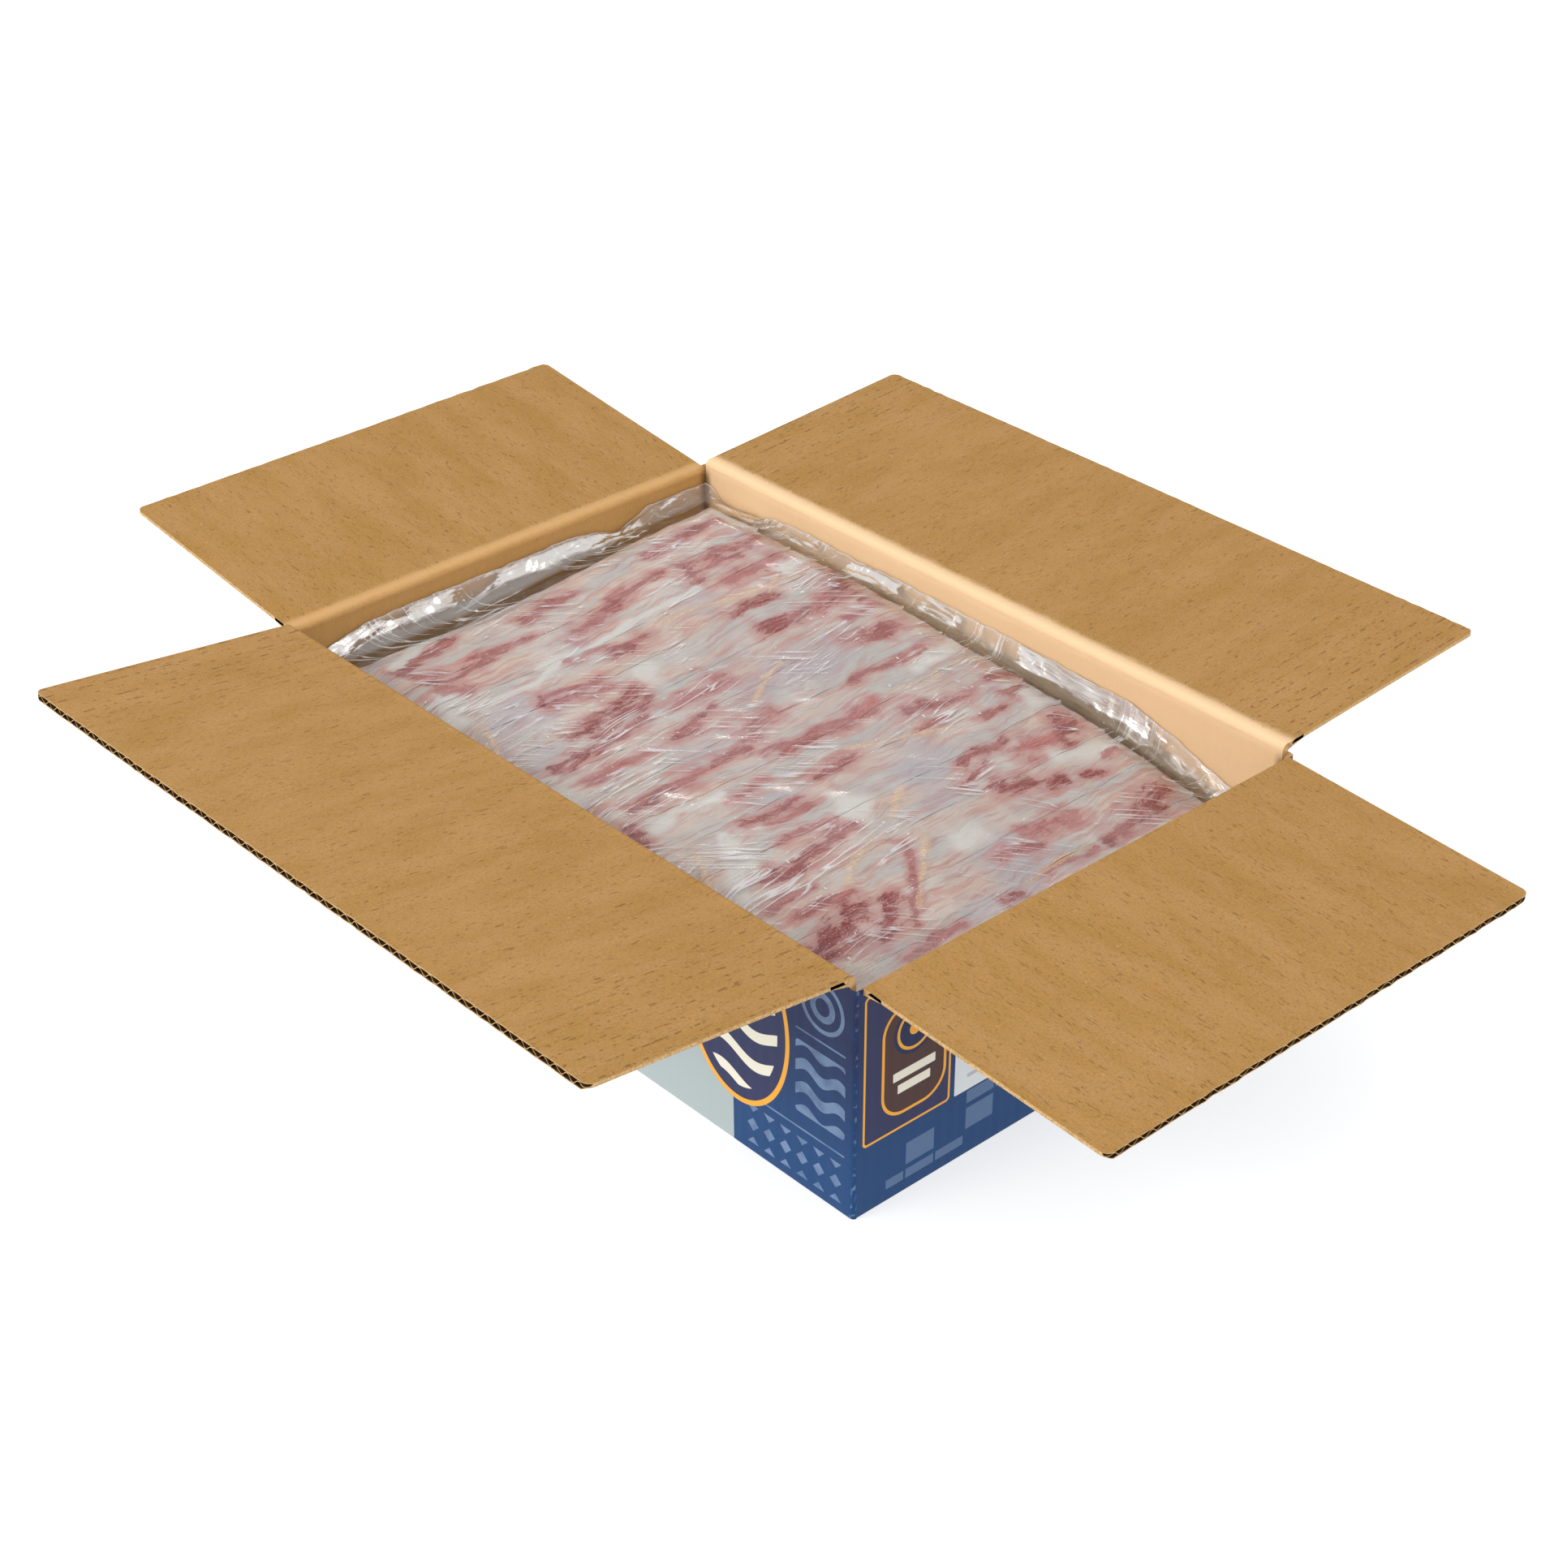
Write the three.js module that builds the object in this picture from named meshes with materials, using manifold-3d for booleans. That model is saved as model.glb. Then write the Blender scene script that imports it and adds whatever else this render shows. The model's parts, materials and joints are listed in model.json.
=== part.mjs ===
// An open corrugated case of layout bacon. The four top flaps are folded outwards, and inside the
// case a stack of bacon shows its top layer, a row of overlapping slices under a loose clear film.
// Sizes are millimetres. The origin is the centre of the underside, +X runs along the long walls,
// +Y across to the back wall, and +Z is up.

import * as THREE from 'three';
import { mergeVertices } from 'three/addons/utils/BufferGeometryUtils.js';
import Module from 'manifold-3d';

const { degToRad, lerp, smoothstep } = THREE.MathUtils;

// Driving dimensions of the case
const CASE_LENGTH = 430;
const CASE_WIDTH = 290.6;
const FOLD_HEIGHT = 128.6; // mean height of the folded edges above the underside
const BOARD = 4; // thickness of the corrugated board
const GAP = 0.3; // clearance between pieces that touch
const CORNER_RADIUS = 2; // of the case's upright edges
const SEAM = 1; // width of the seam between the bottom flaps
const ARC_STEPS = 4; // straight steps in a quarter of a corner's arc

// Driving dimensions of the flaps. A tilt is how far the flap stands above level, in degrees.
const SHORT_FLAP_REACH = 141.4; // from fold to edge
const FLAP_CORNER = 4; // radius of a flap's outer corners
const FRONT_TILT = 7.0;
const BACK_TILT = 3.4;
const LEFT_TILT = 6.4;
const RIGHT_TILT = -3.3;

// Driving dimensions of the bacon and the film
const FILM_DEPTH = 22; // from the folded edges down to the film on the bacon
const END_DROP = 15; // how much lower the bacon lies at the right-hand end
const DROP_START = 80; // the X where it begins to fall
const BACK_RISE = 11; // how much higher it is piled towards the back left corner
const RISE_X = [-100, 120]; // the X over which that rise is lost
const RISE_Y = [-40, 130]; // and the Y over which it is reached
const BACON_LEFT = -196;
const BACON_RIGHT = 200;
const BACON_REACH = 128; // half the length of a slice
const BACON_SHIFT = 2.5; // the slices lie this much nearer to the back wall
const SLICE_COUNT = 13;
const SLICE_WIDTH = 45;
const SLICE_THICKNESS = 2.4;
const SLICE_GAP = 0.5; // clearance between overlapping slices
const SLICE_WANDER = 2.5; // how far a slice's long edge strays from straight
const WANDER_TURN = 7; // radians of that stray along a slice
const LEFT_PHASE = 1.7; // shift of the left edge's stray from slice to slice, in radians
const RIGHT_PHASE = 2.9; // the same for the right edge
const END_WANDER = 2; // how far the slices' ends differ
const END_PHASE = 2.3; // shift of that difference from slice to slice, in radians
const END_NARROWING = 3.5; // how far each long edge comes in at a slice's ends
const END_SHARE = 0.05; // over this share of half its length
const STACK_INSET = 2; // from the slices' edges to the stack's sides
const EDGE_ROUND = 3; // how far the bacon rounds down at its edges
const ROUND_WIDTH = 16; // over this distance
const FILM_THICKNESS = 0.7;
const FILM_GAP = 1.1; // from the slices' highest edges to the film
const FILM_WAVE = 0.9; // height of the film's slow waves
const WAVE_ALONG = 19; // their length along X, over two pi
const WAVE_ACROSS = 23; // and along Y
const WALL_GAP = 1.6; // from the wall to the film's edge
const TROUGH_DEPTH = 4; // the film's sag between the bacon and the wall
const TROUGH_HELD = 0.8; // share of that sag that is lost where the bacon is piled highest
const TROUGH_FROM = 9; // distance from the film's edge at which it starts to sag
const TROUGH_FULL = 3.5; // and at which it has sagged
const EDGE_FOOT = 8; // distance from its edge at which the film turns up
const EDGE_RISE = 10; // how far the film's edge stands above the bacon
const EDGE_FALL = 0.7; // share of that rise that is lost at the lower, right-hand end
const LID_GAP = 0.5; // from the film's highest places to the closed short flaps
const EAR_RISE = 1.2; // how much higher the edge stands in the back left corner
const EAR_Y = [78, 95]; // the Y over which it reaches that height
const EAR_X = [195, 205]; // and the distance to the left

// How finely the curved sheets are divided
const STACK_STEPS = [16, 10];
const SLICE_STEPS = [4, 20];
const FILM_STEPS = [15, 9];
const SLOPE_STEP = 0.5; // distance over which the film's slope is taken
const FILM_BENDS = [0, 2, 4, 6.5, 9, 12, 16, 21, 27]; // distances from the wall

// Worked out from the driving dimensions. The short walls' folds lie one board below the long
// walls' folds, so that the long flaps close on top of the short ones.
const FLOOR = 2 * BOARD;
const INNER_LENGTH = CASE_LENGTH - 2 * BOARD;
const INNER_WIDTH = CASE_WIDTH - 2 * BOARD;
const SHORT_AXIS_Z = FOLD_HEIGHT - BOARD - (BOARD + GAP) / 2;
const LONG_AXIS_Z = SHORT_AXIS_Z + BOARD + GAP;
const LONG_FLAP_REACH = CASE_WIDTH / 2 - GAP / 2;
const LONG_FLAP_WIDTH = INNER_LENGTH - 2 * GAP;
const SHORT_FLAP_WIDTH = INNER_WIDTH - 2 * GAP;
const SLICE_PITCH = (BACON_RIGHT - BACON_LEFT - SLICE_WIDTH) / (SLICE_COUNT - 1);
const SLICE_SLOPE = (SLICE_THICKNESS + SLICE_GAP) / SLICE_PITCH;
const FILM_TOP = SHORT_AXIS_Z - BOARD - LID_GAP;
const LAYER_DEPTH = SLICE_SLOPE * SLICE_WIDTH + SLICE_THICKNESS + FILM_GAP + FILM_THICKNESS;

const wasm = await Module();
wasm.setup();

const kraft = new THREE.MeshStandardMaterial({ color: '#be9155', roughness: 0.85, metalness: 0 });
const printed = new THREE.MeshStandardMaterial({ color: '#234175', roughness: 0.5, metalness: 0 });
const lean = new THREE.MeshStandardMaterial({ color: '#b77a78', roughness: 0.4, metalness: 0 });
const fat = new THREE.MeshStandardMaterial({ color: '#dcc8bd', roughness: 0.4, metalness: 0 });
const film = new THREE.MeshStandardMaterial({
  color: '#d5d8d8', roughness: 0.15, metalness: 0, transparent: true, opacity: 0.35,
});

// A three.js geometry as a manifold solid.
function toSolid(geometry) {
  const bare = geometry.index ? geometry.toNonIndexed() : geometry;
  bare.deleteAttribute('normal');
  bare.deleteAttribute('uv');
  const merged = mergeVertices(bare, 1e-4);
  return new wasm.Manifold(new wasm.Mesh({
    numProp: 3,
    vertProperties: new Float32Array(merged.attributes.position.array),
    triVerts: new Uint32Array(merged.index.array),
  }));
}

// A manifold solid as a three.js geometry.
function toGeometry(solid) {
  const mesh = solid.getMesh();
  const geometry = new THREE.BufferGeometry();
  geometry.setAttribute('position', new THREE.BufferAttribute(mesh.vertProperties, 3));
  geometry.setIndex(new THREE.BufferAttribute(mesh.triVerts, 1));
  geometry.computeVertexNormals();
  return geometry;
}

// A box given by its size and its lowest corner's height, centred on x and y.
function blockSolid(length, width, height, x, y, bottom) {
  const geometry = new THREE.BoxGeometry(length, width, height);
  geometry.translate(x, y, bottom + height / 2);
  return toSolid(geometry);
}

// The space above a pair of facing walls whose tops are mitred at 45 degrees. The walls stand
// "span" apart outside, reach "ridge" at their outer faces, and run for "run" along the other axis.
function mitreSolid(span, ridge, run, alongY) {
  const half = span / 2;
  const above = 2 * BOARD;
  const section = new THREE.Shape([
    new THREE.Vector2(-half + BOARD, ridge - BOARD),
    new THREE.Vector2(half - BOARD, ridge - BOARD),
    new THREE.Vector2(half + above, ridge + above),
    new THREE.Vector2(-half - above, ridge + above),
  ]);
  const geometry = new THREE.ExtrudeGeometry(section, { depth: run, bevelEnabled: false });
  geometry.translate(0, 0, -run / 2);
  geometry.rotateX(Math.PI / 2);
  if (!alongY) {
    geometry.rotateZ(Math.PI / 2);
  }
  return toSolid(geometry);
}

// A rectangle with round corners, centred on the origin.
function roundedRectangle(length, width, radius) {
  const x = length / 2 - radius;
  const y = width / 2 - radius;
  const shape = new THREE.Shape();
  shape.absarc(x, y, radius, 0, Math.PI / 2);
  shape.absarc(-x, y, radius, Math.PI / 2, Math.PI);
  shape.absarc(-x, -y, radius, Math.PI, 1.5 * Math.PI);
  shape.absarc(x, -y, radius, 1.5 * Math.PI, 2 * Math.PI);
  shape.closePath();
  return shape;
}

// The case is one folded and glued blank: four walls and the shut bottom, whose outer flaps meet
// in a seam along the middle.
function caseGeometry() {
  const ridge = LONG_AXIS_Z - 2 * GAP;
  const outline = roundedRectangle(CASE_LENGTH, CASE_WIDTH, CORNER_RADIUS);
  const block = new THREE.ExtrudeGeometry(outline, {
    depth: ridge, bevelEnabled: false, curveSegments: ARC_STEPS,
  });
  let solid = toSolid(block);
  const cuts = [
    blockSolid(INNER_LENGTH, INNER_WIDTH, FOLD_HEIGHT, 0, 0, FLOOR),
    mitreSolid(CASE_WIDTH, ridge, CASE_LENGTH + 2, false),
    mitreSolid(CASE_LENGTH, SHORT_AXIS_Z - 2 * GAP, INNER_WIDTH, true),
    blockSolid(INNER_LENGTH, SEAM, 2 * SEAM, 0, 0, -SEAM),
  ];
  for (const cut of cuts) {
    solid = solid.subtract(cut);
  }
  return toGeometry(solid);
}

// A flap reaches out along +X from its fold on the Y axis and is mitred where it meets the wall.
function flapGeometry(reach, width) {
  const half = width / 2;
  const shape = new THREE.Shape();
  shape.moveTo(GAP, -half);
  shape.lineTo(reach - FLAP_CORNER, -half);
  shape.absarc(reach - FLAP_CORNER, -half + FLAP_CORNER, FLAP_CORNER, -Math.PI / 2, 0);
  shape.absarc(reach - FLAP_CORNER, half - FLAP_CORNER, FLAP_CORNER, 0, Math.PI / 2);
  shape.lineTo(GAP, half);
  shape.closePath();
  const geometry = new THREE.ExtrudeGeometry(shape, {
    depth: BOARD, bevelEnabled: false, curveSegments: ARC_STEPS,
  });
  const position = geometry.attributes.position;
  for (let i = 0; i < position.count; i += 1) {
    const atFold = position.getX(i) < 2 * GAP;
    if (atFold && position.getZ(i) > BOARD / 2) {
      position.setX(i, GAP + BOARD);
    }
  }
  geometry.computeVertexNormals();
  return geometry;
}

// A flap in place: its group turns it to face its wall, and the mesh tilts about the fold.
function addFlap(parent, name, reach, width, x, y, z, heading, tilt) {
  const group = new THREE.Group();
  group.position.set(x, y, z);
  group.rotation.z = degToRad(heading);
  const flap = new THREE.Mesh(flapGeometry(reach, width), kraft);
  flap.name = name;
  flap.rotation.y = -degToRad(tilt);
  group.add(flap);
  parent.add(group);
}

// A closed sheet between an upper and a lower surface, each a function of two numbers from 0 to 1
// that returns a Vector3. Both faces are split into triangles alike.
function sheetGeometry(across, along, upper, lower) {
  const rows = along.length;
  const columns = across.length;
  const points = [];
  for (const surface of [upper, lower]) {
    for (const v of along) {
      for (const u of across) {
        points.push(surface(u, v));
      }
    }
  }
  const index = [];
  const below = rows * columns;
  const quad = (a, b, c, d) => index.push(a, b, c, a, c, d);
  for (let j = 0; j < rows - 1; j += 1) {
    for (let i = 0; i < columns - 1; i += 1) {
      const a = j * columns + i;
      quad(a, a + 1, a + columns + 1, a + columns);
      index.push(below + a, below + a + columns + 1, below + a + 1);
      index.push(below + a, below + a + columns, below + a + columns + 1);
    }
  }
  for (let i = 0; i < columns - 1; i += 1) {
    const last = (rows - 1) * columns + i;
    quad(i, below + i, below + i + 1, i + 1);
    quad(last + 1, below + last + 1, below + last, last);
  }
  for (let j = 0; j < rows - 1; j += 1) {
    const start = j * columns;
    const end = start + columns - 1;
    quad(start + columns, below + start + columns, below + start, start);
    quad(end, below + end, below + end + columns, end + columns);
  }
  const geometry = new THREE.BufferGeometry().setFromPoints(points);
  geometry.setIndex(index);
  geometry.computeVertexNormals();
  return geometry;
}

// Evenly spaced numbers from 0 to 1.
function evenSteps(count) {
  return Array.from({ length: count + 1 }, (_, i) => i / count);
}

// Numbers from 0 to 1 that lie closer together near both ends.
function endSteps(count) {
  return evenSteps(count).map((t) => {
    const s = 2 * t - 1;
    return 0.5 + 0.5 * (1.25 * s - 0.25 * s ** 3);
  });
}

// How far the bacon is piled up at a place: 1 towards the back left corner, 0 at the right and at
// the front.
function piledShare(x, y) {
  return (1 - smoothstep(x, ...RISE_X)) * smoothstep(y, ...RISE_Y);
}

// The height of the film where it lies on the bacon: level, then lower towards the right, higher
// towards the back left corner, and rounded down at the bacon's edges.
function filmLevel(x, y) {
  const drop = END_DROP * smoothstep(x, DROP_START, BACON_RIGHT) - BACK_RISE * piledShare(x, y);
  const round = Math.max(
    smoothstep(Math.abs(y - BACON_SHIFT), BACON_REACH - ROUND_WIDTH, BACON_REACH),
    smoothstep(x, BACON_RIGHT - ROUND_WIDTH, BACON_RIGHT),
    1 - smoothstep(x, BACON_LEFT, BACON_LEFT + ROUND_WIDTH),
  );
  return FOLD_HEIGHT - FILM_DEPTH - drop - EDGE_ROUND * round;
}

// The stack below the top layer: its body is closed sheets of slices, seen only as one block.
function stackGeometry() {
  const x = (u) => lerp(BACON_LEFT + STACK_INSET, BACON_RIGHT - STACK_INSET, u);
  const y = (v) => BACON_SHIFT + lerp(-BACON_REACH + STACK_INSET, BACON_REACH - STACK_INSET, v);
  const top = (u, v) => new THREE.Vector3(x(u), y(v), filmLevel(x(u), y(v)) - LAYER_DEPTH - FILM_GAP);
  const bottom = (u, v) => new THREE.Vector3(x(u), y(v), FLOOR + GAP);
  return sheetGeometry(endSteps(STACK_STEPS[0]), endSteps(STACK_STEPS[1]), top, bottom);
}

// One slice of the top layer. It rests on the slice to its right, so it rises towards +X, and its
// long edges wander by a different wave on each slice.
function sliceGeometry(number) {
  const left = BACON_LEFT + number * SLICE_PITCH;
  const reach = BACON_REACH - END_WANDER * Math.abs(Math.sin(END_PHASE * number));
  const wander = (v, phase) => SLICE_WANDER * Math.sin(WANDER_TURN * v + phase);
  const point = (u, v, lift) => {
    const end = Math.max(0, 1 - (1 - Math.abs(2 * v - 1)) / END_SHARE);
    const narrowing = END_NARROWING * end * end;
    const from = left + Math.max(0, wander(v, LEFT_PHASE * number)) + narrowing;
    const to = left + SLICE_WIDTH + Math.min(0, wander(v, RIGHT_PHASE * number)) - narrowing;
    const x = lerp(from, to, u);
    const y = BACON_SHIFT + lerp(-reach, reach, v);
    return new THREE.Vector3(x, y, filmLevel(x, y) - LAYER_DEPTH + SLICE_SLOPE * (x - left) + lift);
  };
  const top = (u, v) => point(u, v, SLICE_THICKNESS);
  const bottom = (u, v) => point(u, v, 0);
  return sheetGeometry(evenSteps(SLICE_STEPS[0]), endSteps(SLICE_STEPS[1]), top, bottom);
}

// The film's height anywhere in the case. Over the bacon it follows the level in slow waves, beside
// the bacon it sags into a trough, and at the walls its edge stands up.
function filmHeight(x, y) {
  const toWallX = INNER_LENGTH / 2 - WALL_GAP - Math.abs(x);
  const toWallY = INNER_WIDTH / 2 - WALL_GAP - Math.abs(y);
  const toWall = Math.min(toWallX, toWallY);
  const level = filmLevel(x, y);
  const wave = FILM_WAVE * (0.5 + 0.5 * Math.sin(x / WAVE_ALONG) * Math.cos(y / WAVE_ACROSS));
  const inTrough = 1 - smoothstep(toWall, TROUGH_FULL, TROUGH_FROM);
  const sag = TROUGH_DEPTH * (1 - TROUGH_HELD * piledShare(x, y));
  const calm = 1 - EDGE_FALL * smoothstep(x, DROP_START, BACON_RIGHT);
  const ear = EAR_RISE * smoothstep(y, ...EAR_Y) * smoothstep(-x, ...EAR_X);
  const edge = sag + EDGE_ROUND + EDGE_RISE * calm + ear;
  const rise = (1 - smoothstep(toWall, 0, EDGE_FOOT)) * edge;
  return Math.min(FILM_TOP, level + wave * (1 - inTrough) - sag * inTrough + rise);
}

// The film is one thin sheet. Its grid is finer towards the walls, where it bends most.
function filmGeometry() {
  const steps = (span, count) => {
    const last = FILM_BENDS[FILM_BENDS.length - 1];
    const middle = evenSteps(count).slice(1, -1).map((t) => lerp(last, span - last, t));
    const places = [...FILM_BENDS, ...middle, ...FILM_BENDS.map((d) => span - d).reverse()];
    return places.map((place) => place / span);
  };
  const length = INNER_LENGTH - 2 * WALL_GAP;
  const width = INNER_WIDTH - 2 * WALL_GAP;
  const place = (u, v) => {
    const x = (u - 0.5) * length;
    const y = (v - 0.5) * width;
    return new THREE.Vector3(x, y, filmHeight(x, y));
  };
  const lower = (u, v) => {
    const point = place(u, v);
    const { x, y } = point;
    const slopeX = (filmHeight(x + SLOPE_STEP, y) - filmHeight(x - SLOPE_STEP, y)) / (2 * SLOPE_STEP);
    const slopeY = (filmHeight(x, y + SLOPE_STEP) - filmHeight(x, y - SLOPE_STEP)) / (2 * SLOPE_STEP);
    const normal = new THREE.Vector3(-slopeX, -slopeY, 1).normalize();
    return point.addScaledVector(normal, -FILM_THICKNESS);
  };
  return sheetGeometry(steps(length, FILM_STEPS[0]), steps(width, FILM_STEPS[1]), place, lower);
}

// A named mesh added to the group as it stands.
function addMesh(parent, name, geometry, material) {
  const mesh = new THREE.Mesh(geometry, material);
  mesh.name = name;
  parent.add(mesh);
}

const part = new THREE.Group();
addMesh(part, 'case', caseGeometry(), printed);

const halfLength = CASE_LENGTH / 2;
const halfWidth = CASE_WIDTH / 2;
addFlap(part, 'flap_right', SHORT_FLAP_REACH, SHORT_FLAP_WIDTH, halfLength, 0, SHORT_AXIS_Z, 0, RIGHT_TILT);
addFlap(part, 'flap_back', LONG_FLAP_REACH, LONG_FLAP_WIDTH, 0, halfWidth, LONG_AXIS_Z, 90, BACK_TILT);
addFlap(part, 'flap_left', SHORT_FLAP_REACH, SHORT_FLAP_WIDTH, -halfLength, 0, SHORT_AXIS_Z, 180, LEFT_TILT);
addFlap(part, 'flap_front', LONG_FLAP_REACH, LONG_FLAP_WIDTH, 0, -halfWidth, LONG_AXIS_Z, 270, FRONT_TILT);

addMesh(part, 'bacon_stack', stackGeometry(), fat);
for (let number = 0; number < SLICE_COUNT; number += 1) {
  const name = `slice_${String(number + 1).padStart(2, '0')}`;
  addMesh(part, name, sliceGeometry(number), lean);
}
addMesh(part, 'film', filmGeometry(), film);

export default part;
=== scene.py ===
"""An open corrugated case of layout bacon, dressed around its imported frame.

Shapes are worked out in millimetres, in the frame's own axes, and turned into metres when a mesh is
made. The sections follow the case as it is put together: walls, bottom, flaps, folds, the stack,
the top layer of slices, the film, and last the table and the light.
"""

import json
import math

import bpy
import numpy as np
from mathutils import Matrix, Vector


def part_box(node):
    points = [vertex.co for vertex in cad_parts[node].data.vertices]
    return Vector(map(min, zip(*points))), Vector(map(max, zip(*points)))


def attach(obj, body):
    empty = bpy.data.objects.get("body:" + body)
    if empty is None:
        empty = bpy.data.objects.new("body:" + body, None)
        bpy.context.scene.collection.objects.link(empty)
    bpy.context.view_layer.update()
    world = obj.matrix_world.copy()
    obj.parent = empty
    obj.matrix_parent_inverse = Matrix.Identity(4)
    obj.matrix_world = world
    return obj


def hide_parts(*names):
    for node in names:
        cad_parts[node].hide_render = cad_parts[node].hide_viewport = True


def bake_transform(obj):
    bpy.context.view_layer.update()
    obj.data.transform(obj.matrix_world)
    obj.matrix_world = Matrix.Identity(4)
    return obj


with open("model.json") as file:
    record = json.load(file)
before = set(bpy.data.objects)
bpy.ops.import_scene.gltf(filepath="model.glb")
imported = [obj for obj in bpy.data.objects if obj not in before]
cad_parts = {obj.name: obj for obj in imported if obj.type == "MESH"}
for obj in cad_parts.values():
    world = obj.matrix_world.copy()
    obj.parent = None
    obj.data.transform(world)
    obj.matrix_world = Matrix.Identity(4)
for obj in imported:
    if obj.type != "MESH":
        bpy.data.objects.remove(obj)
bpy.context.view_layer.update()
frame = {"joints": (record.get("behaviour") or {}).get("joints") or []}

# Case walls
# Four walls of one corrugated blank, with a printed liner outside and bare kraft inside. The blank
# is creased at the upright corners.
MM = 0.001
CASE_LOW, CASE_HIGH = (np.array(corner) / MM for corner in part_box("case"))
LENGTH, WIDTH = CASE_HIGH[:2] - CASE_LOW[:2]
BOARD = 4.0
CREASE = 0.3  # gap left on each side of a fold's axis
JOINTS = {joint["name"]: joint for joint in frame["joints"]}
LONG_AXIS = JOINTS["front_fold"]["pos_m"][2] / MM
SHORT_AXIS = JOINTS["right_fold"]["pos_m"][2] / MM
FOLD_HEIGHT = (LONG_AXIS + SHORT_AXIS) / 2 + BOARD
CORNER_RADIUS = 2.0
FOOT_RADIUS = 1.0
WALL_BULGE = 0.7
KRAFT = "#a87d3d"
# The next four colours are painted light on the inner kraft: a painted sheen, a painted highlight on the fold
# crests, a painted lit side and painted shade in the corners.
KRAFT_SHEEN = "#f4cfa2"
KRAFT_CREST_HIGHLIGHT = "#fddcb0"
KRAFT_LIT = "#cc9d60"
KRAFT_SHADE = "#5a3c1c"
KRAFT_FIBRE = "#6b4a1c"
FLUTE_PITCH = 7.6
NAVY = "#17234d"
TEAL = "#103f70"
PALE_INK = "#a7b1b1"
SKY_INK = "#7990b0"
ORANGE_INK = "#f0a832"
BROWN_INK = "#4a2f2b"
PLUM_INK = "#2b2f55"
CREAM_INK = "#e9e2cf"


def srgb(code):
    """A hex colour as linear RGBA: each channel is taken back through the sRGB curve."""
    channels = [int(code[i:i + 2], 16) / 255 for i in (1, 3, 5)]
    return [c / 12.92 if c < 0.04045 else ((c + 0.055) / 1.055) ** 2.4 for c in channels] + [1.0]


class Signal:
    """A shader socket. Operators on it add Math nodes, so that a pattern reads as a formula."""

    def __init__(self, finish, socket):
        self.finish = finish
        self.socket = socket

    def math(self, operation, *others):
        return self.finish.node("ShaderNodeMath", {"operation": operation}, [self, *others])

    def flipped(self, operation, other):
        return self.finish.node("ShaderNodeMath", {"operation": operation}, [other, self])

    def __add__(self, other):
        return self.math("ADD", other)

    def __sub__(self, other):
        return self.math("SUBTRACT", other)

    def __mul__(self, other):
        return self.math("MULTIPLY", other)

    def __truediv__(self, other):
        return self.math("DIVIDE", other)

    def __pow__(self, other):
        return self.math("POWER", other)

    def __mod__(self, other):
        return self.math("FLOORED_MODULO", other)

    def __rsub__(self, other):
        return self.flipped("SUBTRACT", other)

    def __rtruediv__(self, other):
        return self.flipped("DIVIDE", other)

    __radd__ = __add__
    __rmul__ = __mul__

    def __abs__(self):
        return self.math("ABSOLUTE")

    def above(self, low, high):
        """0 below low, 1 above high, and a smooth step between them."""
        return self.finish.node(
            "ShaderNodeMapRange", {"interpolation_type": "SMOOTHSTEP"}, [self, low, high, 0.0, 1.0]
        )


class Finish:
    """A material under construction."""

    def __init__(self, name):
        self.material = bpy.data.materials.new(name)
        self.material.use_nodes = True
        self.tree = self.material.node_tree
        self.tree.nodes.clear()

    def node(self, kind, settings=None, inputs=(), output=0):
        """Adds a node: its settings first, then the values or links of its sockets."""
        made = self.tree.nodes.new(kind)
        for key, value in (settings or {}).items():
            setattr(made, key, value)
        pairs = inputs.items() if isinstance(inputs, dict) else enumerate(inputs)
        for key, value in pairs:
            if isinstance(value, Signal):
                self.tree.links.new(value.socket, made.inputs[key])
            elif value is not None:
                made.inputs[key].default_value = value
        return Signal(self, made.outputs[output])

    def attribute(self, name, output="Vector"):
        return self.node("ShaderNodeAttribute", {"attribute_name": name}, output=output)

    def axes(self, vector):
        """The three parts of a vector."""
        split = self.tree.nodes.new("ShaderNodeSeparateXYZ")
        self.tree.links.new(vector.socket, split.inputs[0])
        return [Signal(self, output) for output in split.outputs]

    def vector(self, x, y, z=0.0):
        return self.node("ShaderNodeCombineXYZ", None, [x, y, z])

    def noise(self, vector, scale, detail=3.0, rough=0.5, distortion=0.0):
        """Fractal noise from 0 to 1, around 0.5."""
        sockets = {
            "Vector": vector, "Scale": scale, "Detail": detail, "Roughness": rough, "Distortion": distortion
        }
        return self.node("ShaderNodeTexNoise", None, sockets)

    def mix(self, factor, a, b):
        """Colour a where factor is 0 and colour b where it is 1."""
        a, b = (srgb(c) if isinstance(c, str) else c for c in (a, b))
        return self.node("ShaderNodeMix", {"data_type": "RGBA"}, {0: factor, 6: a, 7: b}, output=2)

    def bump(self, height, strength=1.0):
        """A normal from a height in metres."""
        sockets = {"Strength": strength, "Distance": 1.0, "Height": height}
        return self.node("ShaderNodeBump", None, sockets)

    def surface(self, color, roughness, normal=None, **constants):
        """The Principled shader, with its constant sockets set by name."""
        sockets = {"Base Color": color, "Roughness": roughness, "Normal": normal}
        for key, value in constants.items():
            sockets[key.replace("_", " ")] = value
        return self.node("ShaderNodeBsdfPrincipled", None, sockets)

    def done(self, shader):
        output = self.tree.nodes.new("ShaderNodeOutputMaterial")
        self.tree.links.new(shader.socket, output.inputs["Surface"])
        return self.material


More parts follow.
